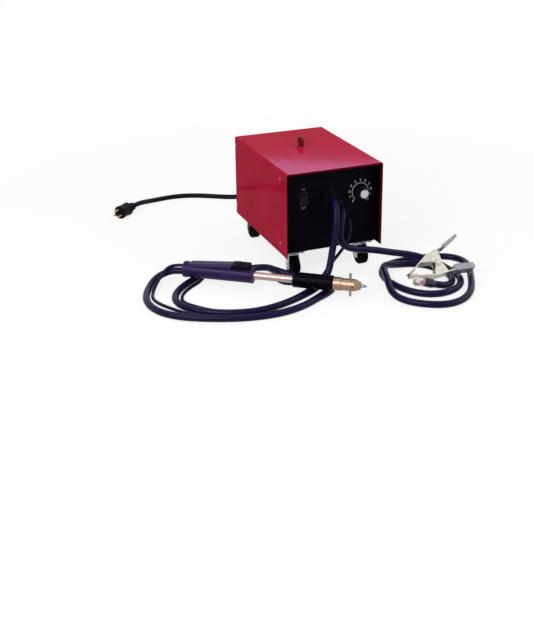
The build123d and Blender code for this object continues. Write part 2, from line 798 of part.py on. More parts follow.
def handle_ridge(half_width):
    # Raised back of the handle, which rises from its rear to the switch housing.
    slope = (ridge_end_height - handle_radius) / (housing_rear - ridge_start)
    end = handle_length
    line = [(ridge_start, handle_radius), (end, handle_radius + slope * (end - ridge_start))]
    outline = [(ridge_start, 0)] + line + [(end, 0)]
    face = Plane.XZ.offset(-half_width) * make_face(Polyline(*outline, close=True))
    ridge = extrude(face, 2 * half_width)
    top = ridge.edges().filter_by(lambda e: abs((e @ 0).Z) > 1 and abs((e @ 1).Z) > 1)
    along_top = [e for e in top if abs((e @ 0).X - (e @ 1).X) > 1]
    return fillet(along_top, ridge_round)


def gun_handle():
    handle = gun_disc(0, handle_radius, handle_length) + handle_ridge(ridge_half_width)
    guard = gun_disc(handle_length, guard_radius, guard_thickness)
    handle += fillet(guard.edges().filter_by(GeomType.CIRCLE), guard_thickness * 0.3)
    w = guard_radius
    handle -= block(housing_rear, handle_length, -w, w, housing_seat, 2 * housing_top)
    handle -= gun_disc(-past, handle_cavity_radius, handle_cavity + past)
    handle -= gun_disc(0, rod_radius, guard_front + past)
    x0, x1 = trigger_switch_ends()
    half = trigger_switch_half_width + hand_gap
    handle -= block(x0 - hand_gap, x1 + hand_gap, -half, half, 0, trigger_switch_top + hand_gap)
    return handle - disc((button_station, 0, 0), (0, 0, 1), stem_radius + 2 * hole_gap, guard_radius)


def gun_rear_cap():
    cap = gun_disc(-cap_thickness, handle_radius + cap_overlap, cap_thickness)
    cap = fillet(cap.edges().sort_by(Axis.X)[0], cap_round)
    cap += gun_disc(0, handle_cavity_radius, cap_spigot)
    for z, radius in ((-weld_hole_drop, weld_radius), (control_hole_rise, control_radius)):
        start = (-cap_thickness - past, 0, z)
        cap -= disc(start, (1, 0, 0), radius + gland_bore_gap, cap_thickness + cap_spigot + 2 * past)
    return cap


def switch_housing():
    # Block on the flattened front of the handle that guides the trigger button.
    w = housing_half_width
    body = block(housing_rear, handle_length, -w, w, housing_seat, housing_top)
    body = fillet(body.edges().filter_by(Axis.Z), housing_corner)
    body = fillet(body.faces().sort_by(Axis.Z)[-1].edges(), housing_round)
    low = (button_station, 0, housing_seat - past)
    return body - disc(low, (0, 0, 1), button_radius + run_gap, housing_top)


def button_guide_low():
    # Lowest level that the button's wide part reaches when it is pressed.
    return housing_seat + hand_gap


def trigger_switch_ends():
    rear = button_station - trigger_switch_length * 0.4
    return rear, rear + trigger_switch_length


def trigger_button():
    low = button_guide_low() + button_travel
    button = disc((button_station, 0, low), (0, 0, 1), button_radius, button_top - low)
    button = fillet(button.edges().sort_by(Axis.Z)[-1], button_round)
    stem_low = trigger_switch_top + hand_gap + button_travel
    return button + disc((button_station, 0, stem_low), (0, 0, 1), stem_radius, low - stem_low)


def trigger_switch():
    x0, x1 = trigger_switch_ends()
    w = trigger_switch_half_width
    return block(x0, x1, -w, w, trigger_switch_low, trigger_switch_top)


def gun_rod():
    return gun_disc(rod_rear, rod_radius, rod_front - rod_rear)


def slide_hammer():
    hammer = gun_disc(hammer_rear, hammer_radius, hammer_length)
    hammer = fillet(hammer.edges().filter_by(GeomType.CIRCLE), hammer_round)
    for middle in (hammer_rear + groove_inset, hammer_front - groove_inset):
        start = middle - groove_width / 2
        groove = gun_disc(start, hammer_radius + past, groove_width)
        hammer -= groove - gun_disc(start, hammer_radius - hammer_groove, groove_width)
    return hammer - gun_disc(hammer_rear - past, rod_radius + run_gap, hammer_length + 2 * past)


def chuck():
    # Collar, body and tapered nose, turning on the end of the rod.
    body = gun_disc(chuck_rear, chuck_collar_radius, chuck_collar)
    body = fillet(body.edges().filter_by(GeomType.CIRCLE), chuck_collar_round)
    inner = chuck_rear + chuck_collar_round + hand_gap
    body += gun_disc(inner, chuck_radius, chuck_rear + chuck_collar + chuck_body - inner)
    nose = (chuck_rear + chuck_collar + chuck_body, 0, 0)
    body += taper(nose, (1, 0, 0), chuck_radius, chuck_nose_radius, chuck_nose)
    body -= gun_disc(chuck_rear - past, rod_radius + run_gap, rod_front - chuck_rear + past + hand_gap)
    body -= gun_disc(tip_rear, tip_radius, chuck_front)
    side = (chuck_rear + chuck_hole_station, -2 * chuck_radius, 0)
    body -= disc(side, (0, 1, 0), chuck_hole_radius, 1.6 * chuck_radius)
    low = (chuck_rear + chuck_bar_station, 0, -2 * chuck_radius)
    return body - disc(low, (0, 0, 1), chuck_bar_radius, 4 * chuck_radius)


def chuck_bar():
    low = (chuck_rear + chuck_bar_station, 0, -chuck_bar_length / 2)
    bar = disc(low, (0, 0, 1), chuck_bar_radius, chuck_bar_length)
    return fillet(bar.edges().filter_by(GeomType.CIRCLE), chuck_bar_round)


def electrode_tip():
    straight = tip_front - tip_point - tip_rear
    tip = gun_disc(tip_rear, tip_radius, straight)
    return tip + taper((tip_front - tip_point, 0, 0), (1, 0, 0), tip_radius, tip_end_radius, tip_point)


def arm_profile(offset):
    # The arm's bent line, shifted outwards by an offset.
    return [(x, z + offset) for x, z in arm_inner]


def strip(inner_line, outer_line, half_width):
    outline = inner_line + outer_line[::-1]
    face = Plane.XZ.offset(-half_width) * make_face(Polyline(*outline, close=True))
    return extrude(face, 2 * half_width)


def arm_plan():
    # Outline of an arm seen from above, as a tall prism: narrow jaw, wide middle, rounded handle.
    end = arm_inner[-1][0]
    jaw = jaw_width / 2
    middle = arm_width / 2
    handle = handle_width / 2
    side = [(-past, jaw), (arm_inner[1][0], jaw), (shoulder_x, middle)]
    side += [(clamp_pivot_x + waist_back, middle), (arm_inner[3][0] + waist_end, handle)]
    side += [(end - handle * 0.6, handle), (end - handle * 0.15, handle * 0.7), (end, handle * 0.3)]
    outline = side + [(x, -y) for x, y in side[::-1]]
    return extrude(make_face(Polyline(*outline, close=True)), 200, both=True)


def arm_height(x):
    # Height of the arm's inner face over the jaws' meeting plane.
    for (x0, z0), (x1, z1) in zip(arm_inner, arm_inner[1:]):
        if x <= x1:
            return z0 + (z1 - z0) * (x - x0) / (x1 - x0)
    return arm_inner[-1][1]


def ear(inside, front):
    # One pierced cheek of an arm, from its sheet down to the pivot, that tapers forwards along the arm.
    x = clamp_pivot_x
    low = (x - ear_radius * 0.98, x + ear_radius * 0.98)
    along_arm = (x + ear_half_width, arm_inner[2][0], front)
    outline = [(low[0], 0), (low[1], 0)]
    outline += [(place, arm_height(place) + ear_sink) for place in along_arm]
    outline += [(x - ear_half_width, ear_knee)]
    face = Plane.XZ.offset(-inside - ear_sheet) * make_face(Polyline(*outline, close=True))
    return extrude(face, ear_sheet) + disc((x, inside, 0), (0, 1, 0), ear_radius, ear_sheet)


def clamp_arm(ear_inside, ear_front, pin_gap):
    # Pressed arm above the meeting plane, with two ears on the pivot pin.
    arm = strip(arm_profile(0), arm_profile(arm_sheet), arm_width) & arm_plan()
    arm += ear(ear_inside, ear_front)
    arm += ear(-ear_inside - ear_sheet, ear_front)
    return arm - disc((clamp_pivot_x, -arm_width, 0), (0, 1, 0), pivot_radius + pin_gap, 2 * arm_width)


def clamp_upper_arm():
    return clamp_arm(upper_ear_inside, upper_ear_front, run_gap)


def clamp_lower_arm():
    # Turned over below the meeting plane, with a tab that carries the cable lug.
    arm = Rot(180, 0, 0) * clamp_arm(lower_ear_inside, lower_ear_front, 0)
    tab = block(-lug_radius, lug_radius, 0, ear_sheet, -lug_bolt_drop, 0)
    tab += disc((0, 0, 0), (0, 1, 0), lug_radius, ear_sheet)
    tab -= disc((0, -past, 0), (0, 1, 0), lug_bolt_radius, 3 * past)
    lower_face = [(x, -z) for x, z in arm_inner]
    over_it = [(x, 3 * lug_bolt_drop) for x, z in arm_inner]
    above = strip(over_it, lower_face, arm_width)
    return arm + (lug_place * tab - above)


def clamp_pivot():
    y = clamp_half + hand_gap
    pin = disc((clamp_pivot_x, -y, 0), (0, 1, 0), pivot_radius, 2 * y)
    for side in (-1, 1):
        head = disc((clamp_pivot_x, side * y, 0), (0, side, 0), pivot_head_radius, pivot_head_height)
        pin += fillet(head.edges().sort_by(Axis.Y)[-1 if side > 0 else 0], pivot_head_height * 0.5)
    return pin


def clamp_pad():
    # Copper strip under the jaw, bent to the jaw's slope.
    back = (pad_length, arm_height(pad_length) - pad_thickness)
    low = [(pad_tip, pad_gap / 2), (pad_bite, pad_gap / 2), back]
    high = [(x, arm_height(x)) for x, _ in low]
    return strip(low, high, pad_width / 2)


def clamp_grip(depth):
    # Thick sleeve on the handle, open at the pivot end and deepest there.
    end = arm_inner[-1][0] + grip_wall
    slope = (arm_inner[-1][1] - arm_inner[-2][1]) / (arm_inner[-1][0] - arm_inner[-2][0])
    start_z = arm_height(grip_start)
    end_z = start_z + slope * (end - grip_start)
    low = [(grip_start, start_z - depth), (end, end_z - depth + grip_taper)]
    out = arm_sheet + grip_wall
    high = [(grip_start, start_z + out), (end, end_z + out)]
    sleeve = strip(low, high, handle_width / 2 + grip_wall)
    sleeve = fillet(sleeve.edges().filter_by(Axis.Y), grip_round)
    return sleeve - (strip(arm_profile(0), arm_profile(arm_sheet), arm_width) & arm_plan())


def ground_lug():
    # In its own frame, X from the barrel to the bolt: flat tongue, and a barrel crimped on the cable.
    tongue = disc((0, -lug_thickness, 0), (0, 1, 0), lug_radius, lug_thickness)
    tongue += block(-lug_tongue - lug_overlap, 0, -lug_thickness, 0, -lug_neck, lug_neck)
    axis_y = -lug_barrel_radius
    barrel = disc((-lug_tongue, axis_y, 0), (-1, 0, 0), lug_barrel_radius, lug_barrel_length)
    lug = tongue + barrel
    lug -= disc((0, -past - lug_thickness, 0), (0, 1, 0), lug_bolt_radius, 3 * past)
    mouth = (-lug_tongue - lug_barrel_length - past, axis_y, 0)
    return lug - disc(mouth, (1, 0, 0), weld_radius + gland_bore_gap, lug_barrel_length + past - lug_floor)


def lug_bolt():
    bolt = hexagon((0, -lug_thickness, 0), (0, -1, 0), lug_bolt_head, lug_bolt_head_height)
    length = lug_thickness + ear_sheet + lug_bolt_head_height + lug_bolt_end
    bolt += disc((0, -lug_thickness, 0), (0, 1, 0), lug_bolt_radius, length)
    return bolt + hexagon((0, ear_sheet, 0), (0, 1, 0), lug_bolt_head, lug_bolt_head_height)


def biarc_path(points, tangents):
    # Two tangent arcs between each pair of points, so the path follows a curve with few edges.
    edges = []
    for p0, p1, t0, t1 in zip(points, points[1:], tangents, tangents[1:]):
        step = p1 - p0
        a = 2 * (1 - t0.dot(t1))
        b = 2 * step.dot(t0 + t1)
        c = -step.dot(step)
        reach = (-b + math.sqrt(b * b - 4 * a * c)) / (2 * a) if abs(a) > 1e-9 else -c / b
        before = p0 + t0 * reach
        after = p1 - t1 * reach
        join = (before + after) * 0.5
        edges.append(Edge.make_tangent_arc(p0, t0, join))
        edges.append(Edge.make_tangent_arc(join, after - before, p1))
    return edges


def least_gap(points, apart, diameter):
    # Least space between a tube's turns, from points along it at least an arc length apart.
    least = 1e9
    for i, p in enumerate(points):
        for q in points[i + apart :]:
            least = min(least, (p - q).length - diameter)
    return least


def round_tube(edges, diameter):
    path = Wire(edges)
    start = edges[0] @ 0
    profile = Plane(origin=start, z_dir=edges[0] % 0) * Circle(diameter / 2)
    return sweep(profile, path=path)


def helix_point(turn):
    # A point on the clamp spring, 'turn' turns from its middle, round the pivot.
    a = 2 * math.pi * turn
    x = clamp_pivot_x + spring_radius * math.cos(a)
    return Vector(x, spring_pitch * turn, spring_radius * math.sin(a))


def helix_tangent(turn):
    a = 2 * math.pi * turn
    r = 2 * math.pi * spring_radius
    return Vector(-r * math.sin(a), spring_pitch, r * math.cos(a)).normalized()


def clamp_spring():
    # Torsion spring: helix of x = r cos a, y = pitch per turn, z = r sin a, with a straight leg
    # at each end that leaves along the tangent towards a handle.
    half = spring_turns / 2
    count = round(4 * spring_turns)
    lean = spring_lean / 360
    turns = [-half - lean + (spring_turns + 2 * lean) * i / count for i in range(count + 1)]
    points = [helix_point(t) for t in turns]
    tangents = [helix_tangent(t) for t in turns]
    first = Edge.make_line(points[0] - tangents[0] * spring_leg, points[0])
    last = Edge.make_line(points[-1], points[-1] + tangents[-1] * spring_leg)
    fine = [helix_point(turns[0] + (turns[-1] - turns[0]) * i / 240) for i in range(241)]
    print("clamp spring least gap", round(least_gap(fine, 40, spring_wire), 2))
    return round_tube([first] + biarc_path(points, tangents) + [last], spring_wire)


def coil_point(turn):
    # The put-away power cord: a turn and a half inwards on the floor layer, half a turn up at
    # the least radius, a turn and a half outwards on the upper layer.
    a = 2 * math.pi * turn - math.pi / 2
    inward = min(turn, 1.5)
    outward = max(turn - 2.0, 0.0)
    climb = min(max((turn - 1.5) / 0.5, 0.0), 1.0)
    radius = coil_outer + coil_step * (outward - inward - math.sin(math.pi * climb) / (2 * math.pi))
    share = climb * climb * (3 - 2 * climb)
    z = coil_low + (coil_high - coil_low) * share
    return Vector(coil_x + radius * math.cos(a), coil_y + radius * math.sin(a), z)


def coil_tangent(turn):
    ahead = coil_point(min(turn + 0.002, 3.5))
    behind = coil_point(max(turn - 0.002, 0.0))
    return (ahead - behind).normalized()


def power_cord_coil():
    turns = [i / 8 for i in range(29)]
    points = [coil_point(t) for t in turns]
    tangents = [coil_tangent(t) for t in turns]
    tangents[0] = Vector(1, 0, 0)
    tangents[-1] = Vector(-1, 0, 0)
    first = Edge.make_line(points[0] - tangents[0] * power_cable, points[0])
    last = Edge.make_line(points[-1], points[-1] + tangents[-1] * power_cable)
    fine = [coil_point(3.5 * i / 420) for i in range(421)]
    print("power cord coil least gap", round(least_gap(fine, 60, power_cable), 2))
    return round_tube([first] + biarc_path(points, tangents) + [last], power_cable)


def cord_tie():
    # Flat band round the coil's four turns on the side away from the cord's ends.
    r0 = coil_inner + coil_step / 4 - power_radius - tie_gap
    r1 = r0 + coil_step + power_cable + 2 * tie_gap
    z0 = coil_low - power_radius - tie_gap
    z1 = coil_high + power_radius + tie_gap
    t = tie_thickness
    y0 = coil_y - tie_width / 2
    y1 = coil_y + tie_width / 2
    band = block(coil_x + r0 - t, coil_x + r1 + t, y0, y1, z0 - t, z1 + t)
    band = fillet(band.edges().filter_by(Axis.Y), tie_corner + tie_thickness)
    inner = block(coil_x + r0, coil_x + r1, y0 - past, y1 + past, z0, z1)
    return band - fillet(inner.edges().filter_by(Axis.Y), tie_corner)


def cable_tube(name, points, diameter):
    # Round tube on straight runs joined by tangent arcs.
    points = [Vector(*p) for p in points]
    radii = []
    for a, b, c in zip(points, points[1:], points[2:]):
        turn = math.radians((b - a).get_angle(c - b))
        radii.append(0.45 * min((b - a).length, (c - b).length) / math.tan(turn / 2))
    path = FilletPolyline(*points, radius=radii)
    profile = Plane(origin=points[0], z_dir=points[1] - points[0]) * Circle(diameter / 2)
    tube = sweep(profile, path=path)
    expected = math.pi * diameter**2 / 4 * path.length
    ratio = tube.volume / expected
    print(f"{name} length {path.length:.0f} least radius {min(radii):.1f} volume ratio {ratio:.4f}")
    tight = {i + 1: round(r) for i, r in enumerate(radii) if r < 3 * diameter}
    print("  corners under three diameters", tight)
    return tube


def gun_point(x, z):
    # A place on the gun's middle plane, in the part's frame.
    place = (gun_place * Pos(x, 0, z)).position
    return (place.X, place.Y, place.Z)


def lug_point(x):
    # A place on the lug barrel's axis, in the part's frame.
    place = (clamp_place * lug_place * Pos(x, -lug_barrel_radius, 0)).position
    return (place.X, place.Y, place.Z)


def gun_cable():
    # From the panel down behind the hammer, then two loops on the floor to the gun's rear, with a low
    # hump over the control cable beside the left caster.
    low = weld_radius + cable_lift
    gland_z = base_z + gun_gland_height
    points = [
        (gun_gland_x, panel_y + sheet + gland_nut_height + cable_inside, gland_z),
        (gun_gland_x, panel_y - 32, gland_z),
        (-9, -200, 192),
        (-13, -215, 177),
        (-17, -223, 157),
        (-21, -226, 133),
        (-25, -227, 109),
        (-30, -229, 86),
        (-36, -234, 63),
        (-44, -240, 41),
        (-60, -249, 22),
        (-86, -258, 10),
        (-121, -276, low),
        (-168, -297, low),
        (-216, -312, low),
        (-262, -315.5, low),
        (-304, -306, low),
        (-340, -290, low),
        (-375, -265, low),
        (-400, -234, low),
        (-411, -201, low),
        (-407, -168, low),
        (-389, -137, low),
        (-363, -110, low),
        (-334, -88, low),
        (-308, -68, low),
        (-278, -58, low),
        (-248, -64, low),
        (-222, -73, low),
        (-196, -82, 10),
        (-171, -94, 14.5),
        (-152, -112, 19),
        (-143, -135, 20.5),
        (-131, -157, 20),
        (-111, -172, 16),
        (-88, -180.5, 10.5),
        (-65, -187, low),
        (-46.6, -202.4, low),
        (-36.5, -224.2, low),
        (-36.1, -248.2, low),
        (-45.7, -270.2, low),
        (-67, -289, low),
        (-98, -304, low),
        (-132, -324, low),
        (-172, -340, low),
        (-216, -347, low),
        (-262, -344, low),
        (-308, -333, low),
        (-356, -314, low),
        (-399, -292, low),
        (-434, -267, low),
        (-459, -236, low),
        (-472, -200, low),
        (-473, -163, low),
        (-465, -130, low),
        (-452, -102, 9.7),
        (-434.8, -77, 15),
        (-415.5, -65, 22),
        (-393, -61.4, 28),
        gun_point(-28, -weld_hole_drop),
        gun_point(rod_rear, -weld_hole_drop),
    ]
    return cable_tube("gun_cable", points, weld_cable)


def control_cable_tube():
    # Beside the gun cable on the inner side of its loops, over it once and under it once behind the gun.
    low = control_radius + cable_lift
    gland_z = base_z + control_gland_height
    points = [
        (control_gland_x, panel_y + sheet + gland_nut_height + cable_inside, gland_z),
        (control_gland_x, panel_y - 24, gland_z),
        (37.5, -182, 140.5),
        (37, -189, 127),
        (34, -192.5, 110),
        (28, -193.5, 93),
        (18.5, -194.5, 78),
        (5.5, -197, 65),
        (-10, -202, 53),
        (-26, -209.5, 42.5),
        (-41.5, -218, 32),
        (-57, -228, 22),
        (-77, -238, 12),
        (-101, -247, 5.5),
        (-128, -262, low),
        (-172, -283, low),
        (-219, -298, low),
        (-262, -301.5, low),
        (-300, -292.5, low),
        (-331, -276, low),
        (-357, -251, low),
        (-379, -222, low),
        (-394, -196, low),
        (-390.5, -168, low),
        (-375.5, -143, low),
        (-352.5, -120, low),
        (-325, -100, low),
        (-306, -85, 11),
        (-293, -69.5, 24),
        (-276, -48, 23),
        (-252, -41, 9),
        (-225, -44, low),
        (-196, -52, low),
        (-168, -66, low),
        (-148, -85, low),
        (-138, -106, low),
        (-138, -128, low),
        (-145, -148, low),
        (-147, -168, low),
        (-139, -187, low),
        (-120, -200, low),
        (-95, -208, low),
        (-74, -214, low),
        (-61, -223, low),
        (-54.5, -238, low),
        (-56.5, -254, low),
        (-66, -266, low),
        (-83, -277.5, low),
        (-106, -293, low),
        (-138, -311, low),
        (-175, -326.5, low),
        (-216, -333, low),
        (-260, -330.5, low),
        (-305, -320, low),
        (-350, -301.5, low),
        (-386, -275, low),
        (-411, -246, low),
        (-432, -212, low),
        (-449, -178, low),
        (-454, -150, low),
        (-450, -130, 5),
        (-440, -109, 11),
        (-424, -90, 22),
        (-408, -76, 33),
        (-392, -66, 42),
        gun_point(-26, control_hole_rise),
        gun_point(rod_rear - 1, control_hole_rise),
    ]
    return cable_tube("control_cable", points, control_cable)


def ground_cable():
    # From the panel to the right, once round on the floor, a wider turn that climbs on the first at
    # the left, then inside both to the lug under the clamp.
    low = weld_radius + cable_lift
    gland_z = base_z + ground_gland_height
    mouth = -lug_tongue - lug_barrel_length
    points = [
        (ground_gland_x, panel_y + sheet + gland_nut_height + cable_inside, gland_z),
        (ground_gland_x, panel_y - 29, gland_z),
        (13, -194, 166),
        (5, -206, 152),
        (-1, -212.5, 136),
        (-3.5, -214, 119),
        (0, -213.5, 102),
        (10, -212, 88),
        (27, -210.5, 78),
        (50, -209.5, 71.5),
        (75, -208.5, 66),
        (100, -207.5, 60),
        (126, -206, 52),
        (152, -205, 44),
        (183, -205, 36),
        (212, -210, 28),
        (238, -225, 19),
        (257, -249, 12),
        (267, -279, 9),
        (270, -312, low),
        (262, -345, low),
        (243, -373, low),
        (215, -391, low),
        (182, -398, low),
        (150, -391, low),
        (124, -371, low),
        (107, -342, low),
        (97, -308, low),
        (94, -273, low),
        (100, -240, low),
        (116, -212, low),
        (141, -193, low),
        (172, -185, low),
        (208, -184, low),
        (246, -187, low),
        (281, -194, low),
        (309, -207, low),
        (326, -229, low),
        (330, -258, low),
        (321, -290, low),
        (303, -322, low),
        (284, -357, low),
        (263, -392, low),
        (240, -421, low),
        (211, -444, low),
        (178, -455, low),
        (148, -452, low),
        (121, -439, low),
        (98, -421.5, low),
        (81, -400, low),
        (71, -376, 9.5),
        (69, -350, 13),
        (75, -323, 20),
        (84, -297, 25.5),
        (92, -270, 27),
        (101, -243, 27),
        (118, -225, 24.5),
        (142, -215, 16.5),
        (169, -208.5, 10.5),
        (197, -211, low),
        (220, -225, low),
        (236, -249, low),
        (247, -278, low),
        (251, -308, low),
        (244, -336, low),
        (226, -359, 9.6),
        (204, -370, 13.5),
        lug_point(mouth - 15),
        lug_point(mouth + lug_barrel_length - lug_floor),
    ]
    return cable_tube("ground_cable", points, weld_cable)


def power_cord():
    gland_z = base_z + cord_gland_height
    end = coil_point(0) - Vector(power_cable, 0, 0)
    points = [
        (cord_gland_x, back_y - sheet - gland_nut_height - cable_inside, gland_z),
        (cord_gland_x, back_y + 30, gland_z),
        (-60, 226, 92.5),
        (-60, 240, 79),
        (-60, 247, 61),
        (-57, 251, 43),
        (-46, 255, 28),
        (-27, 259, 18),
        (-2, 262, 12),
        (27, end.Y, end.Z),
        (end.X, end.Y, end.Z),
    ]
    return cable_tube("power_cord", points, power_cable)


def plug_back():
    # Heading and the middle of the plug's back, where the cord enters.
    turn = math.radians(plug_heading)
    return Vector(math.cos(turn), math.sin(turn), 0), Vector(plug_x, plug_y, plug_radius + cable_lift)


def power_cord_tail():
    low = power_radius + cable_lift
    start = coil_point(3.5) - Vector(power_cable, 0, 0)
    heading, back = plug_back()
    near = back - heading * plug_lead
    points = [
        (start.X, start.Y, start.Z),
        (30, start.Y, start.Z),
        (4, 432, 17),
        (-26, 445, 9),
        (-60, 463, low),
        (-98, 488, low),
        (-136, 511, low),
        (-177, 526, low),
        (-220, 529, low),
        (-260, 520, 8),
        (-295, 502, 13),
        (near.X, near.Y, near.Z),
        (back.X, back.Y, back.Z),
    ]
    return cable_tube("power_cord_tail", points, power_cable)


def power_plug():
    # Plain round mains plug: ribbed neck, body and three round pins.
    heading, back = plug_back()
    out = (heading.X, heading.Y, 0)

    def at(distance):
        point = back + heading * distance
        return (point.X, point.Y, point.Z)

    plug = taper(at(0), out, plug_neck_radius, plug_neck_end, plug_neck)
    body = disc(at(plug_neck), out, plug_radius, plug_body)
    plug += fillet(body.edges().filter_by(GeomType.CIRCLE), plug_round)
    across = Vector(-heading.Y, heading.X, 0)
    for turn in (90, 210, 330):
        a = math.radians(turn)
        face = back + heading * (plug_neck + plug_body - 1)
        foot = face + across * (pin_circle * math.cos(a)) + Vector(0, 0, pin_circle * math.sin(a))
        plug += disc((foot.X, foot.Y, foot.Z), out, pin_radius, pin_length + 1)
    return plug


def all_parts():
    parts = {
        "base_pan": base_pan(),
        "cabinet_cover": cabinet_cover(),
        "front_panel": front_panel(),
        "rear_panel": rear_panel(),
        "cabinet_screws": cabinet_screws(),
        "lifting_eye": lifting_eye(),
        "front_caster_plates": front_caster_plates(),
        "front_left_fork": front_fork(-caster_x),
        "front_right_fork": front_fork(caster_x),
        "front_left_wheel": wheel(-caster_x, front_caster_y - caster_trail),
        "front_right_wheel": wheel(caster_x, front_caster_y - caster_trail),
        "rear_left_wheel": wheel(-caster_x, rear_caster_y),
        "rear_right_wheel": wheel(caster_x, rear_caster_y),
        "rear_caster_forks": rear_caster_forks(),
        "frame_bolts": frame_bolts(),
        "power_switch_body": power_switch_body(),
        "power_rocker": power_rocker(),
        "timer_pot": timer_pot(),
        "timer_knob": timer_knob(),
        "transformer_core": transformer_core(),
        "primary_winding": winding(0),
        "secondary_winding": winding(1),
        "core_frame": core_frame(),
        "gun_busbar": busbar(busbar_split, -1, base_z + gun_gland_height + weld_radius),
        "ground_busbar": busbar(2 * busbar_split, 1, base_z + ground_gland_height + weld_radius),
        "primary_contactor": primary_contactor(),
        "timer_board": timer_board(),
        "terminal_block": terminal_block(),
        "gun_cable": gun_cable(),
        "control_cable": control_cable_tube(),
        "ground_cable": ground_cable(),
        "power_cord": power_cord(),
        "power_cord_coil": power_cord_coil(),
        "power_cord_tail": power_cord_tail(),
        "cord_tie": cord_tie(),
        "power_plug": power_plug(),
    }
    for name, (place, outward, radius) in glands().items():
        parts[name] = gland(place, outward, radius)
    gun = {
        "gun_handle": gun_handle(),
        "gun_rear_cap": gun_rear_cap(),
        "switch_housing": switch_housing(),
        "trigger_button": trigger_button(),
        "trigger_switch": trigger_switch(),
        "gun_rod": gun_rod(),
        "slide_hammer": slide_hammer(),
        "chuck": chuck(),
        "chuck_bar": chuck_bar(),
        "electrode_tip": electrode_tip(),
    }
    clamp = {
        "clamp_lower_arm": clamp_lower_arm(),
        "clamp_upper_arm": clamp_upper_arm(),
        "clamp_pivot": clamp_pivot(),
        "clamp_spring": clamp_spring(),
        "clamp_lower_pad": Rot(180, 0, 0) * clamp_pad(),
        "clamp_upper_pad": clamp_pad(),
        "clamp_lower_grip": Rot(180, 0, 0) * clamp_grip(lower_grip_depth),
        "clamp_upper_grip": clamp_grip(upper_grip_depth),
        "lug_bolt": lug_place * lug_bolt(),
        "ground_lug": lug_place * ground_lug(),
    }
    for name, shape in gun.items():
        parts[name] = gun_place * shape
    for name, shape in clamp.items():
        parts[name] = clamp_place * shape
    return parts


os.makedirs("parts", exist_ok=True)
for part_name, part_shape in all_parts().items():
    export_step(part_shape, f"parts/{part_name}.step")
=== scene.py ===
import math
import bmesh
import bpy
import numpy as np
from mathutils import Matrix, Vector


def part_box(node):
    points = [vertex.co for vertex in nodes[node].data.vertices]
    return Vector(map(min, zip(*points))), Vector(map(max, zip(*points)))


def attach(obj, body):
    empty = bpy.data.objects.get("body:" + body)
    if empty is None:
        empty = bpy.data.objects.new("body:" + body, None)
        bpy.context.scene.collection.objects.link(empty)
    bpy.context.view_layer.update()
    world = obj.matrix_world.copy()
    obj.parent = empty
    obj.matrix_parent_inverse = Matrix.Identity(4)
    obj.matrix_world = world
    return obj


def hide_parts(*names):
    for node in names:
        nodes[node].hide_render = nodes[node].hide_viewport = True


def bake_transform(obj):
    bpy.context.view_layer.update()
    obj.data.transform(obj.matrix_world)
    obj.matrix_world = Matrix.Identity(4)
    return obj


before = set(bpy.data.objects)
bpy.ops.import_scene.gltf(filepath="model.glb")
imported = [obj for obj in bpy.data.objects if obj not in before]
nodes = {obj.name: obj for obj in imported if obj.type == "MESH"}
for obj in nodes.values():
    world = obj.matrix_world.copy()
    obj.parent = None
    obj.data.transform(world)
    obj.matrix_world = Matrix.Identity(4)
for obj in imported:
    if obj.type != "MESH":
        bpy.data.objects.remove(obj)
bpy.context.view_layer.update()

scene = bpy.context.scene


# Camera, floor and light

view = {
    "target": (-0.0159, -0.031, 0.1098),
    "azimuth": -23.3,  # degrees, camera to the left of the machine's front
    "elevation": 20.2,
    "distance": 2.567,
    "lens": 57.69,
    "sensor": 36,
    "shift": (-0.0617, -0.1554),
}


def makeCamera():
    a = math.radians(view["azimuth"])
    e = math.radians(view["elevation"])
    back = Vector((math.sin(a) * math.cos(e), -math.cos(a) * math.cos(e), math.sin(e)))
    data = bpy.data.cameras.new("photoCamera")
    data.lens = view["lens"]
    data.sensor_width = view["sensor"]
    data.shift_x, data.shift_y = view["shift"]
    camera = bpy.data.objects.new("photoCamera", data)
    scene.collection.objects.link(camera)
    camera.location = Vector(view["target"]) + back * view["distance"]
    camera.rotation_euler = (-back).to_track_quat("-Z", "Y").to_euler()
    scene.camera = camera


def linear(hexText):
    # sRGB hex to linear light
    values = np.array([int(hexText[i:i + 2], 16) for i in (1, 3, 5)]) / 255
    high = ((values + 0.055) / 1.055) ** 2.4
    return (*np.where(values <= 0.04045, values / 12.92, high), 1.0)


def addNode(tree, kind, settings, inputs):
    # one node with its settings, and with its inputs linked to a socket or set to a value
    node = tree.nodes.new(kind)
    for name, value in settings.items():
        setattr(node, name, value)
    for name, value in inputs.items():
        if isinstance(value, bpy.types.NodeSocket):
            tree.links.new(value, node.inputs[name])
        else:
            node.inputs[name].default_value = value
    return node


plainWhite = (1, 1, 1, 1)
studio = {
    "floorSize": 14.0,
    "floorColour": "#F6F6F6",
    "whiteFrom": (0.75, 1.7),  # metres from the middle over which the floor fades to plain white
    "whiteNear": 0.8,  # share of plain white under the machine, which keeps its shadow soft
    "fill": 0.55,  # strength of the white surround for diffuse light
    "lamps": {
        "keyLamp": {"at": (-2.1, -1.6, 1.9), "size": (1.6, 1.6), "watts": 63},
        "topLamp": {"at": (0.3, 0.5, 2.6), "size": (2.2, 1.6), "watts": 6},
        "rightLamp": {"at": (2.2, -1.0, 1.4), "size": (1.4, 1.4), "watts": 12},
        # seen only as a bluish sheen along the front of the cabinet's top
        "sheenLamp": {"at": (0.54, 1.0, 0.725), "size": (0.62, 0.12), "watts": 3, "sheen": "#B4BCFF"},
    },
}


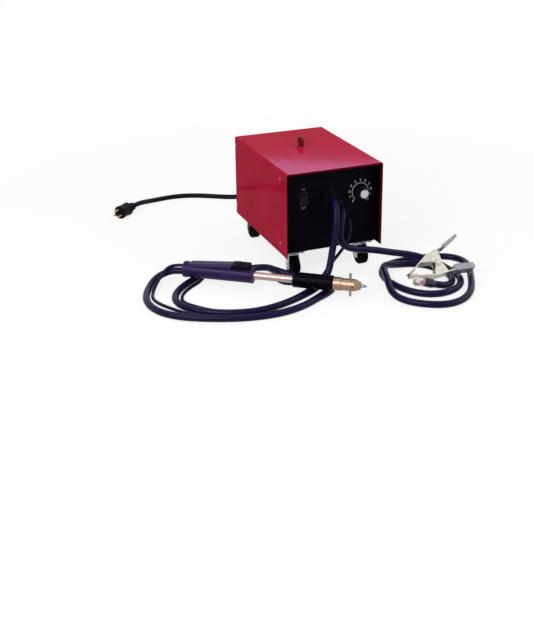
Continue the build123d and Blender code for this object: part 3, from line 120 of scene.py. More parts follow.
def seenShare(tree):
    # one for rays that show the surround to the camera, straight or in a reflection, else zero
    path = addNode(tree, "ShaderNodeLightPath", {}, {})
    shiny = addNode(tree, "ShaderNodeMath", {"operation": "MAXIMUM"},
                    {0: path.outputs["Is Camera Ray"], 1: path.outputs["Is Glossy Ray"]})
    seen = addNode(tree, "ShaderNodeMath", {"operation": "MAXIMUM"},
                   {0: shiny.outputs[0], 1: path.outputs["Is Transmission Ray"]})
    return seen.outputs[0]


def makeSurround():
    world = bpy.data.worlds.new("whiteSurround")
    world.use_nodes = True
    tree = world.node_tree
    tree.nodes.clear()
    strength = addNode(tree, "ShaderNodeMapRange", {},
                       {"Value": seenShare(tree), "To Min": studio["fill"], "To Max": 1.0})
    light = addNode(tree, "ShaderNodeBackground", {}, {"Color": plainWhite, "Strength": strength.outputs[0]})
    addNode(tree, "ShaderNodeOutputWorld", {}, {"Surface": light.outputs[0]})
    scene.world = world
    scene.view_settings.view_transform = "Standard"


def makeFloor():
    # matt white backdrop paper that takes the shadow, plain white where it runs out of the light
    half = studio["floorSize"] / 2
    corners = [(-half, -half, 0), (half, -half, 0), (half, half, 0), (-half, half, 0)]
    mesh = bpy.data.meshes.new("floor")
    mesh.from_pydata(corners, [], [(0, 1, 2, 3)])
    floor = bpy.data.objects.new("floor", mesh)
    scene.collection.objects.link(floor)
    paper = bpy.data.materials.new("whitePaper")
    paper.use_nodes = True
    tree = paper.node_tree
    tree.nodes.clear()
    place = addNode(tree, "ShaderNodeTexCoord", {}, {}).outputs["Object"]
    away = addNode(tree, "ShaderNodeVectorMath", {"operation": "LENGTH"}, {0: place})
    share = addNode(tree, "ShaderNodeMapRange", {"interpolation_type": "SMOOTHSTEP"},
                    {"Value": away.outputs["Value"], "From Min": studio["whiteFrom"][0],
                     "From Max": studio["whiteFrom"][1], "To Min": studio["whiteNear"]})
    matt = addNode(tree, "ShaderNodeBsdfDiffuse", {}, {"Color": linear(studio["floorColour"])})
    white = addNode(tree, "ShaderNodeEmission", {}, {"Color": plainWhite, "Strength": seenShare(tree)})
    mixed = addNode(tree, "ShaderNodeMixShader", {},
                    {0: share.outputs[0], 1: matt.outputs[0], 2: white.outputs[0]})
    addNode(tree, "ShaderNodeOutputMaterial", {}, {"Surface": mixed.outputs[0]})
    mesh.materials.append(paper)


def makeLamps():
    for name, lamp in studio["lamps"].items():
        data = bpy.data.lights.new(name, "AREA")
        data.shape = "RECTANGLE"
        data.size, data.size_y = lamp["size"]
        data.energy = lamp["watts"]
        item = bpy.data.objects.new(name, data)
        if "sheen" in lamp:
            data.color = linear(lamp["sheen"])[:3]
            item.visible_diffuse = False
        item.location = lamp["at"]
        aim = Vector(view["target"]) - Vector(lamp["at"])
        item.rotation_euler = aim.to_track_quat("-Z", "Y").to_euler()
        scene.collection.objects.link(item)


makeCamera()
makeSurround()
makeFloor()
makeLamps()
print("camera, floor and light")


# Finishes

def perMm(size):
    # pattern scale for a feature of that many millimetres, on coordinates in metres
    return 1000 / size


def newFinish(name):
    material = bpy.data.materials.new(name)
    material.use_nodes = True
    tree = material.node_tree
    tree.nodes.clear()
    shader = addNode(tree, "ShaderNodeBsdfPrincipled", {}, {})
    addNode(tree, "ShaderNodeOutputMaterial", {}, {"Surface": shader.outputs[0]})
    place = addNode(tree, "ShaderNodeTexCoord", {}, {}).outputs["Object"]
    return material, tree, shader, place


driftSpan, lineSpan = (0.32, 0.68), (0.3, 0.7)  # noise values at the first and at the second tone
grainReach, lineReach = 0.0004, 0.0003  # metres of relief at a depth of one


def dressShader(tree, shader, pattern, span, height, reach, look):
    # Two tones and two roughnesses by the pattern, a relief by the height, and the look's fixed values.
    share = addNode(tree, "ShaderNodeMapRange", {},
                    {"Value": pattern, "From Min": span[0], "From Max": span[1]})
    tone = addNode(tree, "ShaderNodeMix", {"data_type": "RGBA"},
                   {0: share.outputs[0], 6: linear(look["tones"][0]), 7: linear(look["tones"][1])})
    rough = addNode(tree, "ShaderNodeMapRange", {},
                    {"Value": share.outputs[0], "To Min": look["rough"][0], "To Max": look["rough"][1]})
    bump = addNode(tree, "ShaderNodeBump", {},
                   {"Strength": look["depth"], "Distance": reach, "Height": height})
    sources = {"Base Color": tone.outputs[2], "Roughness": rough.outputs[0], "Normal": bump.outputs[0]}
    for socket, source in sources.items():
        tree.links.new(source, shader.inputs[socket])
    for socket, value in look.get("shader", {}).items():
        shader.inputs[socket].default_value = value


def mottledFinish(name, look):
    # A drift between two tones and two roughnesses, and a fine grain in the surface.
    material, tree, shader, place = newFinish(name)
    drift = addNode(tree, "ShaderNodeTexNoise", {},
                    {"Vector": place, "Scale": perMm(look["driftMm"]), "Detail": 4})
    grain = addNode(tree, "ShaderNodeTexNoise", {},
                    {"Vector": place, "Scale": perMm(look["grainMm"]), "Detail": 2})
    dressShader(tree, shader, drift.outputs[0], driftSpan, grain.outputs[0], grainReach, look)
    return material


def linedFinish(name, look):
    # Fine parallel lines: noise squeezed across the lines, on coordinates turned to the piece's own axis.
    material, tree, shader, place = newFinish(name)
    turned = addNode(tree, "ShaderNodeMapping", {}, {"Vector": place, "Rotation": look["turn"]})
    squeezed = addNode(tree, "ShaderNodeMapping", {},
                       {"Vector": turned.outputs[0], "Scale": [perMm(mm) for mm in look["linesMm"]]})
    lines = addNode(tree, "ShaderNodeTexNoise", {},
                    {"Vector": squeezed.outputs[0], "Scale": 1.0, "Detail": 3})
    dressShader(tree, shader, lines.outputs[0], lineSpan, lines.outputs[0], lineReach, look)
    return material


# Each finish: the real material, how it was made, and what that gives the eye.
mottledLooks = {
    # sprayed gloss enamel on sheet steel: even red, faint orange peel in the reflections
    "redEnamel": {"tones": ("#A6132D", "#B21A3B"), "driftMm": 120, "rough": (0.08, 0.11), "grainMm": 2.4,
                  "depth": 0.05, "shader": {"Specular IOR Level": 0.004}},
    # the cover's red enamel on the forged eye bolt, made darker as painted shade for the eye's own shadow;
    # uneven in tone
    "enamelPaintedShade": {"tones": ("#620A15", "#76121E"), "driftMm": 12, "rough": (0.3, 0.45), "grainMm": 1.6,
                   "depth": 0.2, "shader": {"Specular IOR Level": 0.1}},
    # the same enamel on small screws, worn through to the zinc by the driver
    "wornEnamel": {"tones": ("#8A4A52", "#A77F84"), "driftMm": 2, "rough": (0.35, 0.5), "grainMm": 0.8,
                   "depth": 0.1, "shader": {"Specular IOR Level": 0.3}},
    # satin powder coat on sheet steel: near black with a violet cast and a fine pebble
    "blackPowderCoat": {"tones": ("#040109", "#080410"), "driftMm": 60, "rough": (0.45, 0.55), "grainMm": 0.9,
                        "depth": 0.12, "shader": {"Specular IOR Level": 0.04}},
    # pressed steel forks coloured near black in place of the front forks' zinc: painted shade, as the rear
    # forks sit in shadow; slightly shiny
    "rearForkPaintedShade": {"tones": ("#0B0A0E", "#17161B"), "driftMm": 14, "rough": (0.35, 0.5), "grainMm": 1.2,
                 "depth": 0.08, "shader": {"Specular IOR Level": 0.15}},
    # grey primer on folded steel
    "greyPrimer": {"tones": ("#2E2E31", "#3A3A3D"), "driftMm": 40, "rough": (0.5, 0.65), "grainMm": 1.0,
                   "depth": 0.1},
    # bright zinc plating: bluish metal with cloudy patches
    "zincPlate": {"tones": ("#A9ABB3", "#CFCFD2"), "driftMm": 5, "rough": (0.28, 0.45), "grainMm": 0.8,
                  "depth": 0.06, "shader": {"Metallic": 1.0}},
    # moulded tyre rubber, dusty in patches
    "tyreRubber": {"tones": ("#030207", "#08060C"), "driftMm": 9, "rough": (0.55, 0.8), "grainMm": 0.7,
                   "depth": 0.2, "shader": {"Specular IOR Level": 0.03}},
    # moulded black ABS with a fine spark-eroded texture
    "blackAbs": {"tones": ("#0A080E", "#110E17"), "driftMm": 18, "rough": (0.38, 0.5), "grainMm": 0.5,
                 "depth": 0.12, "shader": {"Specular IOR Level": 0.14}},
    # extruded neoprene jacket: dark indigo with a violet sheen, mottled by handling
    "cableRubber": {"tones": ("#0D0622", "#180B38"), "driftMm": 22, "rough": (0.28, 0.38), "grainMm": 1.1,
                    "depth": 0.15,
                    "shader": {"Specular IOR Level": 0.15, "Specular Tint": (0.78, 0.66, 1, 1)}},
    # extruded PVC jacket of the mains lead
    "leadRubber": {"tones": ("#06030E", "#0D0819"), "driftMm": 22, "rough": (0.4, 0.55), "grainMm": 1.0,
                   "depth": 0.12, "shader": {"Specular IOR Level": 0.08}},
    # moulded nylon: indigo black, satin, fine stipple
    "indigoNylon": {"tones": ("#271343", "#311A52"), "driftMm": 26, "rough": (0.34, 0.46), "grainMm": 0.8,
                    "depth": 0.14, "shader": {"Specular IOR Level": 0.14}},
    # moulded violet-black ABS of the gun's switch block
    "violetAbs": {"tones": ("#0C0513", "#140A1E"), "driftMm": 14, "rough": (0.4, 0.52), "grainMm": 0.6,
                  "depth": 0.12, "shader": {"Specular IOR Level": 0.07}},
    # heat-shrunk polyolefin sleeve: tight, dark violet, glossy
    "shrinkSleeve": {"tones": ("#1A1028", "#241637"), "driftMm": 9, "rough": (0.12, 0.2), "grainMm": 1.4,
                     "depth": 0.08, "shader": {"Specular IOR Level": 0.5}},
    # oiled and blackened steel: near black with a soft sheen
    "blackenedSteel": {"tones": ("#040209", "#090612"), "driftMm": 16, "rough": (0.3, 0.42), "grainMm": 0.9,
                       "depth": 0.05, "shader": {"Specular IOR Level": 0.03}},
    # zinc-plated and passivated pressed sheet: pale cream metal
    "platedSheet": {"tones": ("#BDBAAE", "#D6D3C8"), "driftMm": 9, "rough": (0.38, 0.55), "grainMm": 0.9,
                    "depth": 0.08, "shader": {"Metallic": 0.75}},
    # dipped grey vinyl sleeve
    "greyVinyl": {"tones": ("#8F8B97", "#A6A2AD"), "driftMm": 12, "rough": (0.45, 0.6), "grainMm": 1.3,
                  "depth": 0.15},
    # handled copper: pink metal with darker finger marks
    "bareCopper": {"tones": ("#AC8886", "#CDACA9"), "driftMm": 6, "rough": (0.3, 0.5), "grainMm": 0.7,
                   "depth": 0.05, "shader": {"Metallic": 0.7}},
    # fibreglass board with green solder mask
    "greenLaminate": {"tones": ("#12452A", "#1B5A37"), "driftMm": 6, "rough": (0.3, 0.45), "grainMm": 1.5,
                      "depth": 0.2},
    # moulded cream phenolic
    "creamPhenolic": {"tones": ("#C9C2AE", "#D8D2C0"), "driftMm": 8, "rough": (0.4, 0.5), "grainMm": 0.6,
                      "depth": 0.05},
    # woven nylon hook-and-loop band
    "nylonBand": {"tones": ("#15131B", "#292532"), "driftMm": 1.6, "rough": (0.8, 0.95), "grainMm": 0.6,
                  "depth": 0.5, "shader": {"Sheen Weight": 0.3}},
    # screen-printed grey ink
    "greyInk": {"tones": ("#77717F", "#8E8896"), "driftMm": 3, "rough": (0.55, 0.7), "grainMm": 0.6,
                "depth": 0.1},
    # screen-printed white ink, slightly uneven
    "whiteInk": {"tones": ("#CFCBD6", "#E4E1E8"), "driftMm": 3, "rough": (0.55, 0.7), "grainMm": 0.6,
                 "depth": 0.1},
}

gunTurn = (0, 0, math.radians(36.8))  # brings the gun's axis onto X
linedLooks = {
    # drawn copper bar: pale pink metal with long drawing lines
    "drawnCopper": {"tones": ("#A08680", "#BBA6A0"), "turn": gunTurn, "linesMm": (60, 1.2, 1.2),
                    "rough": (0.28, 0.42), "depth": 0.06, "shader": {"Metallic": 0.7}},
    # turned brass: fine rings round the axis
    "turnedBrass": {"tones": ("#8A6B5A", "#A68A77"), "turn": gunTurn, "linesMm": (0.9, 40, 40),
                    "rough": (0.28, 0.42), "depth": 0.12, "shader": {"Metallic": 0.9}},
    # ground steel bar
    "groundSteel": {"tones": ("#77787F", "#9C9DA3"), "turn": gunTurn, "linesMm": (2, 2, 2),
                    "rough": (0.25, 0.4), "depth": 0.05, "shader": {"Metallic": 1.0}},
    # cold-drawn spring wire, oil-blackened
    "springWire": {"tones": ("#0D0C10", "#1B1A20"), "turn": (0, 0, 0), "linesMm": (3, 3, 3),
                   "rough": (0.3, 0.42), "depth": 0.04, "shader": {"Specular IOR Level": 0.3}},
    # satin aluminium disc, faintly lined
    "satinAluminium": {"tones": ("#C3BCC6", "#DAD5DC"), "turn": (0, 0, 0), "linesMm": (0.8, 30, 30),
                       "rough": (0.35, 0.5), "depth": 0.06, "shader": {"Metallic": 0.6}},
    # stacked transformer laminations under varnish: lines 1.6 mm apart, coarser than the sheets so that
    # they show
    "varnishedStack": {"tones": ("#221F20", "#3A3536"), "turn": (0, 0, 0), "linesMm": (80, 1.6, 80),
                       "rough": (0.35, 0.5), "depth": 0.4},
    # layers of enamelled copper wire, 2.4 mm apart up the winding
    "enamelWire": {"tones": ("#6B3420", "#A4633F"), "turn": (0, 0, 0), "linesMm": (90, 90, 2.4),
                   "rough": (0.3, 0.4), "depth": 0.6, "shader": {"Metallic": 0.4}},
    # machined brass plug pins
    "brassPins": {"tones": ("#B08A45", "#CFAE6B"), "turn": (0, 0, 0), "linesMm": (4, 4, 4),
                  "rough": (0.25, 0.35), "depth": 0.04, "shader": {"Metallic": 1.0}},
}
finish = {name: mottledFinish(name, look) for name, look in mottledLooks.items()}
finish.update({name: linedFinish(name, look) for name, look in linedLooks.items()})

hood = {
    "wall": 0.1258, "top": 0.2747,  # half width and height of the space inside
    "mouth": -0.171, "front": -0.1804,  # back and front of the red rim round the opening
    # painted shade: dark red on the rim, near black further inside
    "rimPaintedShade": "#5A0812", "insidePaintedShade": "#08050B",
}


def paintHoodShade(material):
    # Painted shade: dark red on the cut edge and over the rim inside the opening, and near black on the inner
    # walls behind the rim, which lie in shade.
    tree = material.node_tree
    shader = next(node for node in tree.nodes if node.type == "BSDF_PRINCIPLED")
    place = addNode(tree, "ShaderNodeTexCoord", {}, {}).outputs["Object"]
    known = dict(zip("xyz", addNode(tree, "ShaderNodeSeparateXYZ", {}, {0: place}).outputs))
    steps = (
        ("aside", "ABSOLUTE", "x", 0.0),
        ("between", "LESS_THAN", "aside", hood["wall"]),
        ("below", "LESS_THAN", "z", hood["top"]),
        ("inside", "MULTIPLY", "between", "below"),
        ("cutEdge", "LESS_THAN", "y", hood["front"]),
        ("rim", "MAXIMUM", "inside", "cutEdge"),
        ("behind", "GREATER_THAN", "y", hood["mouth"]),
        ("deep", "MULTIPLY", "inside", "behind"),
    )
    for name, operation, first, second in steps:
        inputs = {0: known[first], 1: known.get(second, second)}
        known[name] = addNode(tree, "ShaderNodeMath", {"operation": operation}, inputs).outputs[0]
    tone = shader.inputs["Base Color"].links[0].from_socket
    for share, hexText in (("rim", hood["rimPaintedShade"]), ("deep", hood["insidePaintedShade"])):
        mix = addNode(tree, "ShaderNodeMix", {"data_type": "RGBA"},
                      {0: known[share], 6: tone, 7: linear(hexText)})
        tone = mix.outputs[2]
    tree.links.new(tone, shader.inputs["Base Color"])


# the cover's red enamel, with painted shade on its rim and inside
paintHoodShade(finish["redEnamel"])
print("finishes", len(finish))

nodeFinish = {
    "redEnamel": ["cabinet_cover"],
    "enamelPaintedShade": ["lifting_eye"],
    "blackPowderCoat": ["front_panel", "rear_panel"],
    "greyPrimer": ["base_pan", "core_frame"],
    "wornEnamel": ["cabinet_screws"],
    "zincPlate": ["front_caster_plates", "front_left_fork", "front_right_fork", "frame_bolts", "lug_bolt",
                  "timer_pot"],
    "rearForkPaintedShade": ["rear_caster_forks"],
    "tyreRubber": ["front_left_wheel", "front_right_wheel", "rear_left_wheel", "rear_right_wheel"],
    "blackAbs": ["power_switch_body", "power_rocker", "timer_knob", "gun_cable_gland", "ground_cable_gland",
                 "control_cable_gland", "power_cord_gland", "primary_contactor", "trigger_switch",
                 "trigger_button"],
    "varnishedStack": ["transformer_core"],
    "enamelWire": ["primary_winding", "secondary_winding"],
    "bareCopper": ["gun_busbar", "ground_busbar", "clamp_lower_pad", "clamp_upper_pad", "ground_lug"],
    "greenLaminate": ["timer_board"],
    "creamPhenolic": ["terminal_block"],
    "indigoNylon": ["gun_handle", "gun_rear_cap"],
    "violetAbs": ["switch_housing"],
    "blackenedSteel": ["slide_hammer"],
    "drawnCopper": ["gun_rod"],
    "turnedBrass": ["chuck"],
    "groundSteel": ["chuck_bar", "electrode_tip"],
    "springWire": ["clamp_spring"],
    "platedSheet": ["clamp_lower_arm", "clamp_upper_arm", "clamp_pivot"],
    "greyVinyl": ["clamp_lower_grip", "clamp_upper_grip"],
    "nylonBand": ["cord_tie"],
}
for finishName, members in nodeFinish.items():
    for member in members:
        nodes[member].data.materials.clear()
        nodes[member].data.materials.append(finish[finishName])


# Surfaces

def addPiece(name, mesh, finishName, body):
    mesh.materials.append(finish[finishName])
    piece = bpy.data.objects.new(name, mesh)
    scene.collection.objects.link(piece)
    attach(piece, body)
    return piece


def skinMesh(name, rings):
    # Closed profiles side by side: ring i joins ring i + 1, and both ends are capped.
    count, around = rings.shape[:2]
    i = np.arange(count - 1)[:, None] * around
    j = np.arange(around)[None, :]
    beside = (j + 1) % around
    corners = (i + j, i + beside, i + around + beside, i + around + j)
    faces = np.stack(np.broadcast_arrays(*corners), axis=-1).reshape(-1, 4).tolist()
    last = (count - 1) * around
    faces += [list(range(around)), list(range(last, last + around))]
    mesh = bpy.data.meshes.new(name)
    mesh.from_pydata(rings.reshape(-1, 3).tolist(), [], faces)
    return mesh


def joinMeshes(name, meshes):
    # several meshes as one, in place of them
    work = bmesh.new()
    for mesh in meshes:
        work.from_mesh(mesh)
        bpy.data.meshes.remove(mesh)
    joined = bpy.data.meshes.new(name)
    work.to_mesh(joined)
    work.free()
    return joined


mergeWithin = 1e-6  # metres


def closeMesh(mesh, smoothDegrees):
    # outward faces, and edges sharper than the angle kept crisp
    work = bmesh.new()
    work.from_mesh(mesh)
    bmesh.ops.remove_doubles(work, verts=work.verts, dist=mergeWithin)
    bmesh.ops.recalc_face_normals(work, faces=work.faces)
    work.to_mesh(mesh)
    work.free()
    mesh.shade_smooth()
    mesh.set_sharp_from_angle(angle=math.radians(smoothDegrees))
    return mesh


def revolveRings(profile, start, axis, around=64):
    # Each profile point (s, r) becomes a circle of radius r, s along the axis from start.
    axis = np.array(axis, float) / np.linalg.norm(axis)
    side = np.cross(axis, (0, 0, 1.0) if abs(axis[2]) < 0.9 else (1.0, 0, 0))
    side /= np.linalg.norm(side)
    other = np.cross(axis, side)
    s, r = np.array(profile, float).T[:, :, None]
    a = np.linspace(0, 2 * math.pi, around, endpoint=False)[None, :]
    out = (r * np.cos(a))[:, :, None] * side + (r * np.sin(a))[:, :, None] * other
    return np.array(start) + s[:, :, None] * axis + out


def wordMesh(text, size, depth):
    data = bpy.data.curves.new("word", "FONT")
    data.body = text
    data.size = size
    data.extrude = depth
    data.align_x = "CENTER"
    data.align_y = "CENTER"
    holder = bpy.data.objects.new("word", data)
    scene.collection.objects.link(holder)
    bpy.context.view_layer.update()
    drawn = holder.evaluated_get(bpy.context.evaluated_depsgraph_get())
    mesh = bpy.data.meshes.new_from_object(drawn)
    bpy.data.objects.remove(holder)
    return mesh


def printWords(name, words, panelY, depth, finishName):
    # Raised letters on a panel that faces -Y: words as (text, x, z, size).
    y = panelY - depth
    meshes = []
    for text, x, z, size in words:
        mesh = wordMesh(text, size, depth)
        mesh.transform(Matrix(((1, 0, 0, x), (0, 0, -1, y), (0, 1, 0, z), (0, 0, 0, 1))))
        meshes.append(mesh)
    addPiece(name, closeMesh(joinMeshes(name, meshes), smoothDegrees=30), finishName, "machine")


# Cables, on the routes of their solids

gunCable = {
    "node": "gun_cable", "diameter": 0.017, "length": 1.982, "exit": (-0.004, -0.166, 0.2),
    "route": [
        (-0.004, -0.1395, 0.2), (-0.004, -0.18, 0.2), (-0.009, -0.2, 0.192), (-0.013, -0.215, 0.177),
        (-0.017, -0.223, 0.157), (-0.021, -0.226, 0.133), (-0.025, -0.227, 0.109), (-0.03, -0.229, 0.086),
        (-0.036, -0.234, 0.063), (-0.044, -0.24, 0.041), (-0.06, -0.249, 0.022), (-0.086, -0.258, 0.01),
        (-0.121, -0.276, 0.0087), (-0.168, -0.297, 0.0087), (-0.216, -0.312, 0.0087),
        (-0.262, -0.3155, 0.0087), (-0.304, -0.306, 0.0087), (-0.34, -0.29, 0.0087), (-0.375, -0.265, 0.0087),
        (-0.4, -0.234, 0.0087), (-0.411, -0.201, 0.0087), (-0.407, -0.168, 0.0087), (-0.389, -0.137, 0.0087),
        (-0.363, -0.11, 0.0087), (-0.334, -0.088, 0.0087), (-0.308, -0.068, 0.0087), (-0.278, -0.058, 0.0087),
        (-0.248, -0.064, 0.0087), (-0.222, -0.073, 0.0087), (-0.196, -0.082, 0.01), (-0.171, -0.094, 0.0145),
        (-0.152, -0.112, 0.019), (-0.143, -0.135, 0.0205), (-0.131, -0.157, 0.02), (-0.111, -0.172, 0.016),
        (-0.088, -0.1805, 0.0105), (-0.065, -0.187, 0.0087), (-0.0466, -0.2024, 0.0087),
        (-0.0365, -0.2242, 0.0087), (-0.0361, -0.2482, 0.0087), (-0.0457, -0.2702, 0.0087),
        (-0.067, -0.289, 0.0087), (-0.098, -0.304, 0.0087), (-0.132, -0.324, 0.0087), (-0.172, -0.34, 0.0087),
        (-0.216, -0.347, 0.0087), (-0.262, -0.344, 0.0087), (-0.308, -0.333, 0.0087), (-0.356, -0.314, 0.0087),
        (-0.399, -0.292, 0.0087), (-0.434, -0.267, 0.0087), (-0.459, -0.236, 0.0087), (-0.472, -0.2, 0.0087),
        (-0.473, -0.163, 0.0087), (-0.465, -0.13, 0.0087), (-0.452, -0.102, 0.0097), (-0.4348, -0.077, 0.015),
        (-0.4155, -0.065, 0.022), (-0.393, -0.0614, 0.028), (-0.36992, -0.06763, 0.0312),
        (-0.33309, -0.09518, 0.0312)],
}
controlCable = {
    "node": "control_cable", "diameter": 0.008, "length": 1.867, "exit": (0.037, -0.166, 0.147),
    "route": [
        (0.037, -0.1395, 0.147), (0.037, -0.172, 0.147), (0.0375, -0.182, 0.1405), (0.037, -0.189, 0.127),
        (0.034, -0.1925, 0.11), (0.028, -0.1935, 0.093), (0.0185, -0.1945, 0.078), (0.0055, -0.197, 0.065),
        (-0.01, -0.202, 0.053), (-0.026, -0.2095, 0.0425), (-0.0415, -0.218, 0.032), (-0.057, -0.228, 0.022),
        (-0.077, -0.238, 0.012), (-0.101, -0.247, 0.0055), (-0.128, -0.262, 0.0042), (-0.172, -0.283, 0.0042),
        (-0.219, -0.298, 0.0042), (-0.262, -0.3015, 0.0042), (-0.3, -0.2925, 0.0042), (-0.331, -0.276, 0.0042),
        (-0.357, -0.251, 0.0042), (-0.379, -0.222, 0.0042), (-0.394, -0.196, 0.0042),
        (-0.3905, -0.168, 0.0042), (-0.3755, -0.143, 0.0042), (-0.3525, -0.12, 0.0042), (-0.325, -0.1, 0.0042),
        (-0.306, -0.085, 0.011), (-0.293, -0.0695, 0.024), (-0.276, -0.048, 0.023), (-0.252, -0.041, 0.009),
        (-0.225, -0.044, 0.0042), (-0.196, -0.052, 0.0042), (-0.168, -0.066, 0.0042), (-0.148, -0.085, 0.0042),
        (-0.138, -0.106, 0.0042), (-0.138, -0.128, 0.0042), (-0.145, -0.148, 0.0042), (-0.147, -0.168, 0.0042),
        (-0.139, -0.187, 0.0042), (-0.12, -0.2, 0.0042), (-0.095, -0.208, 0.0042), (-0.074, -0.214, 0.0042),
        (-0.061, -0.223, 0.0042), (-0.0545, -0.238, 0.0042), (-0.0565, -0.254, 0.0042),
        (-0.066, -0.266, 0.0042), (-0.083, -0.2775, 0.0042), (-0.106, -0.293, 0.0042),
        (-0.138, -0.311, 0.0042), (-0.175, -0.3265, 0.0042), (-0.216, -0.333, 0.0042),
        (-0.26, -0.3305, 0.0042), (-0.305, -0.32, 0.0042), (-0.35, -0.3015, 0.0042), (-0.386, -0.275, 0.0042),
        (-0.411, -0.246, 0.0042), (-0.432, -0.212, 0.0042), (-0.449, -0.178, 0.0042), (-0.454, -0.15, 0.0042),
        (-0.45, -0.13, 0.005), (-0.44, -0.109, 0.011), (-0.424, -0.09, 0.022), (-0.408, -0.076, 0.033),
        (-0.392, -0.066, 0.042), (-0.36832, -0.06883, 0.0462), (-0.33389, -0.09458, 0.0462)],
}
groundCable = {
    "node": "ground_cable", "diameter": 0.017, "length": 2.012, "exit": (0.018, -0.166, 0.172),
    "route": [
        (0.018, -0.1395, 0.172), (0.018, -0.177, 0.172), (0.013, -0.194, 0.166), (0.005, -0.206, 0.152),
        (-0.001, -0.2125, 0.136), (-0.0035, -0.214, 0.119), (0, -0.2135, 0.102), (0.01, -0.212, 0.088),
        (0.027, -0.2105, 0.078), (0.05, -0.2095, 0.0715), (0.075, -0.2085, 0.066), (0.1, -0.2075, 0.06),
        (0.126, -0.206, 0.052), (0.152, -0.205, 0.044), (0.183, -0.205, 0.036), (0.212, -0.21, 0.028),
        (0.238, -0.225, 0.019), (0.257, -0.249, 0.012), (0.267, -0.279, 0.009), (0.27, -0.312, 0.0087),
        (0.262, -0.345, 0.0087), (0.243, -0.373, 0.0087), (0.215, -0.391, 0.0087), (0.182, -0.398, 0.0087),
        (0.15, -0.391, 0.0087), (0.124, -0.371, 0.0087), (0.107, -0.342, 0.0087), (0.097, -0.308, 0.0087),
        (0.094, -0.273, 0.0087), (0.1, -0.24, 0.0087), (0.116, -0.212, 0.0087), (0.141, -0.193, 0.0087),
        (0.172, -0.185, 0.0087), (0.208, -0.184, 0.0087), (0.246, -0.187, 0.0087), (0.281, -0.194, 0.0087),
        (0.309, -0.207, 0.0087), (0.326, -0.229, 0.0087), (0.33, -0.258, 0.0087), (0.321, -0.29, 0.0087),
        (0.303, -0.322, 0.0087), (0.284, -0.357, 0.0087), (0.263, -0.392, 0.0087), (0.24, -0.421, 0.0087),
        (0.211, -0.444, 0.0087), (0.178, -0.455, 0.0087), (0.148, -0.452, 0.0087), (0.121, -0.439, 0.0087),
        (0.098, -0.4215, 0.0087), (0.081, -0.4, 0.0087), (0.071, -0.376, 0.0095), (0.069, -0.35, 0.013),
        (0.075, -0.323, 0.02), (0.084, -0.297, 0.0255), (0.092, -0.27, 0.027), (0.101, -0.243, 0.027),
        (0.118, -0.225, 0.0245), (0.142, -0.215, 0.0165), (0.169, -0.2085, 0.0105), (0.197, -0.211, 0.0087),
        (0.22, -0.225, 0.0087), (0.236, -0.249, 0.0087), (0.247, -0.278, 0.0087), (0.251, -0.308, 0.0087),
        (0.244, -0.336, 0.0087), (0.226, -0.359, 0.0096), (0.204, -0.37, 0.0135), (0.17968, -0.37358, 0.02057),
        (0.14944, -0.36364, 0.02929)],
}
powerCord = {
    "diameter": 0.014, "length": 2.23, "exit": (-0.06, 0.195, 0.1),
    "coilCentre": (0.07, 0.345), "coilOuter": 0.082, "coilStep": 0.015, "coilLow": 0.0087, "coilRise": 0.0146,
    "coilTurns": 3.5, "climbTurns": (1.5, 2), "pointsPerTurn": 24,
    "lead": [
        (-0.06, 0.1685, 0.1), (-0.06, 0.207, 0.1), (-0.06, 0.226, 0.0925), (-0.06, 0.24, 0.079),
        (-0.06, 0.247, 0.061), (-0.057, 0.251, 0.043), (-0.046, 0.255, 0.028), (-0.027, 0.259, 0.018),
        (-0.002, 0.262, 0.012), (0.027, 0.263, 0.0087)],
    "tail": [
        (0.03, 0.427, 0.0233), (0.004, 0.432, 0.017), (-0.026, 0.445, 0.009), (-0.06, 0.463, 0.0072),
        (-0.098, 0.488, 0.0072), (-0.136, 0.511, 0.0072), (-0.177, 0.526, 0.0072), (-0.22, 0.529, 0.0072),
        (-0.26, 0.52, 0.008), (-0.295, 0.502, 0.013), (-0.3249, 0.4801, 0.0192), (-0.348, 0.461, 0.0192)],
}


def coilRoute(cord):
    # A turn and a half inwards on the floor, half a turn of climbing, a turn and a half outwards on top.
    turn = np.linspace(0, cord["coilTurns"], round(cord["coilTurns"] * cord["pointsPerTurn"]) + 1)
    first, last = cord["climbTurns"]
    climb = np.clip((turn - first) / (last - first), 0, 1)
    ease = np.sin(math.pi * climb) * (last - first) / math.pi
    spiral = np.maximum(turn - last, 0) - np.minimum(turn, first) - ease
    radius = cord["coilOuter"] + cord["coilStep"] * spiral
    a = 2 * math.pi * turn - math.pi / 2
    z = cord["coilLow"] + cord["coilRise"] * climb ** 2 * (3 - 2 * climb)
    x = cord["coilCentre"][0] + radius * np.cos(a)
    y = cord["coilCentre"][1] + radius * np.sin(a)
    return np.column_stack([x, y, z]).tolist()


cordMesh = {"aroundSteps": 7, "alongSteps": 6, "order": 3}


def makeCord(name, cord, route, finishName, slot, *stoodFor):
    data = bpy.data.curves.new(name, "CURVE")
    data.dimensions = "3D"
    data.bevel_depth = cord["diameter"] / 2
    data.bevel_resolution = cordMesh["aroundSteps"]
    data.resolution_u = cordMesh["alongSteps"]
    data.use_fill_caps = True
    line = data.splines.new("NURBS")
    line.points.add(len(route) - 1)
    line.points.foreach_set("co", np.column_stack([route, np.ones(len(route))]).ravel())
    line.order_u = cordMesh["order"]
    line.use_endpoint_u = True
    data.materials.append(finish[finishName])
    piece = bpy.data.objects.new(name, data)
    scene.collection.objects.link(piece)
    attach(piece, "machine")
    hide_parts(*stoodFor)
    return piece


def makeWeldCables():
    cords = {"gunCable": gunCable, "controlCable": controlCable, "groundCable": groundCable}
    for name, cord in cords.items():
        piece = makeCord(name, cord, cord["route"], "cableRubber", "cable_black", cord["node"])


